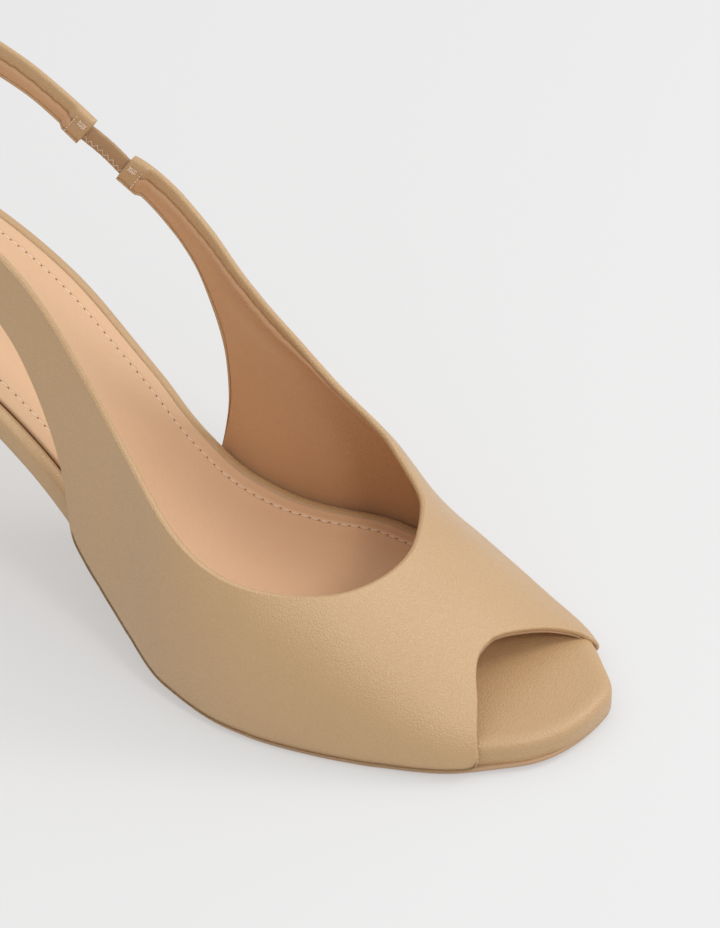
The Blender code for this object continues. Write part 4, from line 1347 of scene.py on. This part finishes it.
@dataclass
class Plates:
    """Everything that lies along the sole: wrapped insole, sock, stitches, sole and heel."""

    last: Last
    finishes: Finishes
    stations: int = 230
    padding: float = 0.95
    upper_from: float = 0.40
    pad_span: tuple = (0.80, 0.11)
    rim_round: tuple = (0.36, 0.24)
    pad_round: tuple = (0.60, 0.50)
    pad_power: float = 1.15
    wrap_side: tuple = ((0.0, 0.76), (0.0, 0.94), (0.05, 1.0))
    wrap_swell: float = 0.00015
    recess: float = 0.0012
    recess_end: float = 0.020
    sock_thick: float = 0.0017
    sock_inset: float = 0.0034
    sock_front: float = 0.012
    sock_edge: tuple = (0.00065, 0.00062)
    sock_swell: float = 0.00035
    groove_deep: float = 0.00026
    groove_wide: float = 0.00042
    puff_high: float = 0.00022
    puff_wide: float = 0.0019
    stitch_inset: float = 0.0076
    stitch_pitch: float = 0.0025
    stitch: tuple = (0.00190, 0.00021)
    # Length and radius of the dark marks of painted shade at the needle holes.
    hole_shade: tuple = (0.00050, 0.00015)
    slant: tuple = (0.16, 0.05)
    last_stitch: float = 0.013
    sole_tuck: float = 0.0012
    skirt: float = 0.0009
    sole_thick: float = 0.0012
    sole_out: float = 0.0006
    under_inset: float = 0.0008
    sole_edge: tuple = (
        (0.50, 0.00), (0.22, 0.04), (0.08, 0.16), (0.00, 0.34), (0.00, 0.62), (0.06, 0.82),
        (0.20, 0.95), (0.42, 1.00),
    )
    heel_breast: float = -0.112
    heel_inset: float = 0.0012
    lift_back: float = -0.1535
    lift_front: float = -0.1325
    lift_half: float = 0.0105
    lift_thick: float = 0.0050
    lift_corner: float = 0.0004
    lift_foot: float = 0.0008
    breast_from: float = 0.90
    breast_run: float = 0.10
    lift_round: tuple = (3.2, 2.6)
    heel_ease: tuple = (2.3, 1.9)
    heel_grid: tuple = (70, 60)

    def plan(self, start: float, end: float, outward: float, front: float = 0.0,
             tucked: float = 0.0) -> Array:
        """A closed plan outline from the heel along the outer side to the toe and back.

        Args:
            start: the heel end's x.
            end: the toe end's x.
            outward: how far it stands beyond the insole's edge under the upper.
            front: length over which a cut-off front is rounded, or 0 for the toe itself.
            tucked: how far it stands inside the insole's edge where no upper covers it.

        Returns:
            Plan points, closer together at both ends.
        """
        share = (1 - np.cos(np.pi * np.arange(1, self.stations + 1) / (self.stations + 1))) / 2
        x = start + (end - start) * share
        trim = 1.0
        if front > 0:
            trim = (1 - np.clip((x - end + front) / front, 0, 1) ** 3) ** (1 / 2.4)
            inner_x = x
        else:
            inner_x = self.last.heel_x + (x - start) / (end - start) * self.last.length
        station = self.last.station(inner_x)
        at_toe = smooth((station - self.upper_from) / 0.08)
        under = at_toe * smooth((0.955 - station) / 0.06)
        under = under * outward - (1 - under) * tucked * (1 - 0.88 * at_toe)
        sides = []
        for side in (Side.OUTER.value, Side.INNER.value):
            edge = self.last.edge(inner_x, np.full_like(x, side)) * trim
            sides.append(edge + side * under * np.minimum(1, np.abs(edge) / 0.01))
        tips = [self.last.edge(np.array([v]), np.array([1.0]))[0] * (front == 0)
                for v in (self.last.heel_x, self.last.x_at(1.0))]
        tip_y = 0.0 if front > 0 else tips[1]
        return np.concatenate([[[start, tips[0]]], np.stack([x, sides[0]], -1), [[end, tip_y]],
                               np.stack([x, sides[1]], -1)[::-1]])

    @staticmethod
    def inset(outline: Array, distance: Array) -> Array:
        """The outline moved inward, square to itself.

        Args:
            outline: closed plan outline.
            distance: how far, for all points or for each.

        Returns:
            The moved outline.
        """
        along = unit(np.roll(outline, -1, 0) - np.roll(outline, 1, 0))
        inward = np.stack([-along[:, 1], along[:, 0]], -1)
        return outline + inward * np.broadcast_to(distance, (len(outline),))[:, None]

    def raised(self, plan: Array, depth: Array) -> Array:
        """Plan points at a depth below the insole's top, measured square to the sole.

        Args:
            plan: plan points.
            depth: depth below the insole's top.

        Returns:
            Points in space.
        """
        x = plan[..., 0]
        height = self.last.rim_height(x) - depth * self.last.stretch(x)
        return np.concatenate([plan, height[..., None]], -1)

    def plate(self, name: str, rings: list[Array], middle: Array, finish: bpy.types.Material,
              slot: str, replaces: str | None) -> bpy.types.Object:
        """A plate from closed rings, highest and innermost first.

        Args:
            name: the piece's name.
            rings: closed rings of points.
            middle: the top's depth for each column across the first ring.
            finish: its material.
            slot: not used.
            replaces: the CAD node that it stands for.

        Returns:
            A closed piece. The first ring is filled with columns from the outer to the inner
            side at the same station, and the last ring with plain strips.
        """
        tube = np.array(rings)
        count, ring = tube.shape[:2]
        half = ring // 2
        columns = len(middle)
        index = np.arange(1, half)
        left, right = tube[0, index], tube[0, ring - index]
        share = np.linspace(0, 1, columns + 2)[1:-1][None, :, None]
        inner = left[:, None] * (1 - share) + right[:, None] * share
        inner[..., 2] += np.asarray(middle)[None, :] * smooth((right - left)[:, 1:2] / 0.03)
        base = count * ring
        field_rows = base + np.arange((half - 1) * columns).reshape(half - 1, columns)
        grid = np.concatenate([index[:, None], field_rows, (ring - index)[:, None]], 1)
        flat = np.stack([grid[:-1, :-1], grid[1:, :-1], grid[1:, 1:], grid[:-1, 1:]], -1)
        flat = flat.reshape(-1, 4)
        heel = np.stack([np.full(columns + 1, 0), grid[0, :-1], grid[0, 1:]], -1)
        toe = np.stack([np.full(columns + 1, half), grid[-1, 1:], grid[-1, :-1]], -1)
        last = (count - 1) * ring
        near, far = last + index, last + ring - index
        pair = np.stack([near[:-1], far[:-1], far[1:], near[1:]], -1)
        ends = np.array([[0, ring - 1, 1], [half, half - 1, half + 1]]) + last
        walls = quads(count, ring, True)[:, ::-1]
        points = np.concatenate([tube.reshape(-1, 3), inner.reshape(-1, 3)])
        return add_piece(name, points, [walls, flat, pair, heel, toe, ends], finish, slot, replaces)

    def wrap_outline(self) -> Array:
        """The insole's outline, a little narrower where the upper's wall stands beside it."""
        return self.beside_wall(self.plan(self.last.heel_x, self.last.x_at(1.0), 0.0))

    def beside_wall(self, outline: Array) -> Array:
        """An outline moved inward where the upper's wall stands beside it.

        Args:
            outline: closed plan outline.

        Returns:
            The outline beside the wall.
        """
        share = self.last.station(outline[:, 0])
        under = smooth((share - self.upper_from) / 0.04) * smooth((1.0 - share) / 0.03)
        return self.inset(outline, under * self.under_inset)

    def build_wrap(self) -> bpy.types.Object:
        """The wrapped insole: a soft rim, a recess for the sock and a padded toe.

        Returns:
            A plate whose edge is a quarter round that grows towards the toe, where the pad
            bulges a little before it falls to its edge.
        """
        outline = self.wrap_outline()
        share = self.last.station(outline[:, 0])
        pad = smooth((share - self.pad_span[0]) / self.pad_span[1])
        thick = self.last.insole_thick
        rings = []
        sunk = smooth((self.recess_end + 0.003 - outline[:, 0]) / 0.003) * self.recess
        floor = self.sock_inset + (self.pad_round[0] * thick - self.sock_inset + 0.4 * MM) * pad
        rings.append((floor, sunk))
        rings.append((floor - 0.10 * MM, sunk * 0.6))
        rings.append((floor - 0.22 * MM, sunk * 0.12))
        for angle in np.linspace(0, 1, 12) * np.pi / 2:
            rim_in = self.rim_round[0] * thick * (1 - np.sin(angle))
            rim_down = self.rim_round[1] * thick * (1 - np.cos(angle))
            toe_in = self.pad_round[0] * thick * (1 - np.sin(angle)) ** self.pad_power
            toe_down = self.pad_round[1] * thick * (1 - np.cos(angle)) ** self.pad_power
            rings.append((rim_in + (toe_in - rim_in) * pad, rim_down + (toe_down - rim_down) * pad))
        for shift, depth in self.wrap_side:
            drop = depth * thick + (depth - 0.7) / 0.3 * self.skirt * pad
            rings.append((np.full(len(outline), shift * thick), drop))
        rings = [self.raised(self.inset(outline, shift), np.broadcast_to(depth, (len(outline),)))
                 for shift, depth in rings]
        across = np.linspace(0, np.pi, 26)[1:-1]
        return self.plate("insole_wrap", rings, -self.wrap_swell * np.sin(across),
                          self.finishes.wrap, "insole", "insole")

    def sock_outline(self) -> Array:
        """The sock's outline, inside the rim and cut off under the vamp."""
        outline = self.plan(self.last.heel_x, self.recess_end, 0.0, self.sock_front)
        outline = self.beside_wall(outline)
        return self.inset(outline, self.sock_inset + self.last.gap)

    def build_sock(self) -> bpy.types.Object:
        """The sock lining: a rounded edge, a stitch groove and a slightly padded field.

        Returns:
            A plate whose rings step inward, with a groove shaped like a bell curve where the
            stitches run.
        """
        outline = self.sock_outline()
        top = self.recess - self.last.gap - self.sock_thick
        groove = self.stitch_inset - self.sock_inset - self.last.gap
        shifts = np.concatenate([np.linspace(9.0, 5.6, 8), np.linspace(5.4, 2.6, 22),
                                 np.linspace(2.3, 0.7, 6)]) * MM
        dent = self.groove_deep * np.exp(-((shifts - groove) / self.groove_wide) ** 2)
        puff = self.puff_high * np.exp(-((shifts - groove) / self.puff_wide) ** 2)
        angle = np.linspace(0, 1, 8) * np.pi / 2
        shifts = np.concatenate([shifts, self.sock_edge[0] * (1 - np.sin(angle)) ** 1.4,
                                 [0.1 * MM, 0.5 * MM]])
        depths = np.concatenate([dent - puff, self.sock_edge[1] * (1 - np.cos(angle)) ** 0.9,
                                 [self.sock_thick * 0.85, self.sock_thick]])
        rings = [self.raised(self.inset(outline, shift), np.full(len(outline), top + depth))
                 for shift, depth in zip(shifts, depths)]
        across = np.linspace(0, np.pi, 26)[1:-1]
        return self.plate("sock_lining", rings, -self.sock_swell * np.sin(across),
                          self.finishes.sock, "sock", "sock")

    def build_stitches(self) -> None:
        """The sock's seam: slanted stitches in the groove, and between each two a dark mark of
        painted shade for a needle hole.
        """
        outline = self.sock_outline()
        groove = self.stitch_inset - self.sock_inset - self.last.gap
        top = self.recess - self.last.gap - self.sock_thick
        line = self.raised(self.inset(outline, groove), np.full(len(outline), top + 0.04 * MM))
        line = np.concatenate([line, line[:1]])
        run = runs(line)
        pitch = run[-1] / round(run[-1] / self.stitch_pitch)
        at = np.arange(0, run[-1], pitch)
        spots = np.stack([np.interp(at, run, line[:, k]) for k in range(3)], -1)
        ahead = np.stack([np.interp(at + 0.0004, run, line[:, k]) for k in range(3)], -1)
        behind = np.stack([np.interp(at - 0.0004, run, line[:, k]) for k in range(3)], -1)
        along = unit(ahead - behind)
        x = spots[:, 0]
        fall = (self.last.rim_height(x + 0.0005) - self.last.rim_height(x - 0.0005)) / 0.001
        up = unit(np.stack([-fall, np.zeros_like(fall), np.ones_like(fall)], -1))
        side = unit(np.cross(up, along))
        lean = self.slant[0] + self.slant[1] * ripple(at, 0.019, 0.5)
        slant = unit(along + side * lean[:, None])
        shown = x < self.recess_end - self.last_stitch
        stitch_piece("sock_stitches", spots[shown], slant[shown], up[shown], *self.stitch,
                     self.finishes.thread, "sock")
        # Painted shade: small dark capsules just above the sock stand for the shade inside the
        # needle holes.
        middle = spots + along * (pitch / 2) + side * (0.05 * MM * ripple(at, 0.013, 1.1))[:, None]
        stitch_piece("sock_needle_hole_shade", middle[shown] + up[shown] * 0.05 * MM, along[shown],
                     up[shown], *self.hole_shade, self.finishes.hole_shade, "sock")

    def build_sole(self) -> bpy.types.Object:
        """The thin sole, with a softly rounded edge.

        Returns:
            The piece.
        """
        toe_end = self.last.x_at(1.0) - 0.12 * self.sole_tuck
        outline = self.plan(self.last.heel_x + self.sole_tuck, toe_end, self.sole_out,
                            tucked=self.sole_tuck)
        top = self.last.insole_thick + self.last.gap
        rings = [self.raised(self.inset(outline, shift * self.sole_thick),
                             np.full(len(outline), top + depth * self.sole_thick))
                 for shift, depth in self.sole_edge]
        return self.plate("sole", rings, np.zeros(8), self.finishes.sole, "outsole", "outsole")

    def heel_rings(self, levels: int, count: int) -> Array:
        """Closed rings of the heel from seat to lift, eased between the two outlines.

        Args:
            levels: number of rings.
            count: steps from back to breast.

        Returns:
            The rings, seat first.
        """
        share = (1 - np.cos(np.pi * np.arange(0, count + 1) / count)) / 2
        back = self.last.heel_x + self.heel_inset
        x_top = back + (self.heel_breast - back) * share
        corner = (1 - np.clip((share - self.breast_from) / self.breast_run, 0, 1) ** 3) ** 0.5
        x_low = self.lift_back + (self.lift_front - self.lift_back) * share
        first, second = self.lift_round
        low_half = self.lift_half * (1 - np.abs(2 * share - 1) ** first) ** (1 / second)
        top_half = np.abs(self.last.edge(x_top, np.ones_like(x_top)))
        top_half = top_half - self.heel_inset * np.minimum(1, share * 12)
        level = np.linspace(0, 1, levels)[:, None]
        narrow, forward = (1 - (1 - level) ** power for power in self.heel_ease)
        x = x_top * (1 - forward) + x_low * forward
        half = np.maximum(top_half, 0) * corner * (1 - narrow) + low_half * narrow
        seat = self.last.rim_height(x_top) - (self.last.insole_thick + self.sole_thick
                                              + 2 * self.last.gap) * self.last.stretch(x_top)
        z = seat[None] * (1 - level) + (self.lift_thick + self.last.gap) * level
        outer = np.stack([x, -half, z], -1)
        inner = np.stack([x, half, z], -1)[:, -2:0:-1]
        return np.concatenate([outer, inner], 1)

    def build_heel(self) -> None:
        """The covered heel and its wearing tip."""
        rings = self.heel_rings(*self.heel_grid)
        self.plate("heel_cover", list(rings), np.zeros(4), self.finishes.heel, "heel", "heel")
        low = rings[-1][:, :2]
        shape = []
        for shift, z in ((0.4, self.lift_thick), (-0.2, self.lift_thick - self.lift_corner),
                         (-0.2, self.lift_foot), (0.3, 0.0)):
            plan = self.inset(low, shift * MM)
            shape.append(np.concatenate([plan, np.full((len(plan), 1), z)], 1))
        self.plate("heel_tip_rubber", shape, np.zeros(4), self.finishes.tip, "top_lift", "top_lift")

    def build(self) -> None:
        """Builds every piece along the sole."""
        self.build_wrap()
        self.build_sock()
        self.build_stitches()
        self.build_sole()
        self.build_heel()


@dataclass
class Studio:
    """Pale floor, soft lights and the camera at the photograph's angle."""

    azimuth: float = 29.3
    elevation: float = 40.2
    distance: float = 1.0
    focal_pixels: float = 4060.0
    picture_height: int = 928
    target: tuple = (-0.0206, 0.0367, 0.0200)
    floor_tone: float = 0.40
    floor_glow: float = 0.38
    floor_radii: tuple = (6.0, 0.5)
    sky_level: float = 0.49
    sky_slope: tuple = (0.04, 0.05, 0.56)
    lamps: tuple = (
        ("key_far_side", (0.60, 0.62, 0.80), (0.0, 0.0, 0.03), 0.45, 3.5),
        ("near_toe_sheen", (0.66, -0.30, 0.76), (0.03, -0.02, 0.02), 0.20, 2.0),
    )

    def camera(self) -> None:
        """The camera: its lens is the focal length in pixels on a 36 mm tall picture."""
        turn, tilt = np.radians([self.azimuth, self.elevation])
        back = Vector((np.sin(turn) * np.cos(tilt), -np.cos(turn) * np.cos(tilt), np.sin(tilt)))
        data = bpy.data.cameras.new("camera")
        data.sensor_width = 36.0
        data.lens = 36.0 * self.focal_pixels / self.picture_height
        data.clip_start, data.clip_end = 0.05, 20.0
        item = bpy.data.objects.new("camera", data)
        item.location = Vector(self.target) + back * self.distance
        item.rotation_euler = back.to_track_quat("Z", "Y").to_euler()
        bpy.context.scene.collection.objects.link(item)
        bpy.context.scene.camera = item

    def floor(self) -> None:
        """The floor: a pale matt disc far wider than the view."""
        made = bpy.data.materials.new("studio_floor")
        made.use_nodes = True
        shader = made.node_tree.nodes["Principled BSDF"]
        shader.inputs["Base Color"].default_value = (self.floor_tone,) * 3 + (1.0,)
        shader.inputs["Roughness"].default_value = 0.9
        shader.inputs["Specular IOR Level"].default_value = 0.1
        shader.inputs["Emission Color"].default_value = (1.0, 1.0, 1.0, 1.0)
        shader.inputs["Emission Strength"].default_value = self.floor_glow
        angle = np.linspace(0, 2 * np.pi, 97)[:-1]
        rings = [np.stack([r * np.cos(angle), r * np.sin(angle), 0 * angle], -1)
                 for r in self.floor_radii]
        points = np.concatenate(rings + [np.zeros((1, 3))])
        mesh = bpy.data.meshes.new("studio_floor")
        faces = quads(2, 96, True).tolist() + fan(96, 96, 192, False).tolist()
        mesh.from_pydata(points.tolist(), [], faces)
        mesh.materials.append(made)
        item = bpy.data.objects.new("studio_floor", mesh)
        bpy.context.scene.collection.objects.link(item)

    @staticmethod
    def lamp(name: str, place: tuple, aim: tuple, size: float, power: float) -> None:
        """A square soft box that faces its aim.

        Args:
            name: the lamp's name.
            place: where it hangs.
            aim: the point that it faces.
            size: its edge.
            power: its watts.
        """
        data = bpy.data.lights.new(name, "AREA")
        data.size, data.energy = size, power
        item = bpy.data.objects.new(name, data)
        item.location = place
        item.rotation_euler = (Vector(place) - Vector(aim)).to_track_quat("Z", "Y").to_euler()
        bpy.context.scene.collection.objects.link(item)

    def build(self) -> None:
        """Builds camera, floor, lights and the sky."""
        scene = bpy.context.scene
        scene.view_settings.view_transform = "Standard"
        scene.view_settings.look = "None"
        world = bpy.data.worlds.new("studio")
        world.use_nodes = True
        sky = world.node_tree.nodes["Background"]
        sky.inputs["Color"].default_value = (1.0, 1.0, 1.0, 1.0)
        place = world.node_tree.nodes.new("ShaderNodeTexCoord")
        slope = world.node_tree.nodes.new("ShaderNodeVectorMath")
        slope.operation = "DOT_PRODUCT"
        slope.inputs[1].default_value = self.sky_slope
        level = world.node_tree.nodes.new("ShaderNodeMath")
        level.operation = "ADD"
        level.inputs[1].default_value = self.sky_level
        link = world.node_tree.links.new
        link(place.outputs["Generated"], slope.inputs[0])
        link(slope.outputs["Value"], level.inputs[0])
        link(level.outputs["Value"], sky.inputs["Strength"])
        scene.world = world
        self.camera()
        self.floor()
        for name, place, aim, size, power in self.lamps:
            self.lamp(name, place, aim, size, power)


def main() -> None:
    """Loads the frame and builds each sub-assembly."""
    logging.basicConfig(level=logging.INFO, format="%(message)s")
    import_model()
    low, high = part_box("insole")
    last = Last(heel_x=low[0], length=high[0] - low[0])
    finishes = Finishes()
    band = Band(last)
    upper = Upper(band, finishes)
    upper.build_leather()
    upper.build_lining()
    StrapEnds(band, finishes).build()
    Plates(last, finishes).build()
    Studio().build()
    LOG.info("sizes written")


if __name__ == "__main__":
    main()
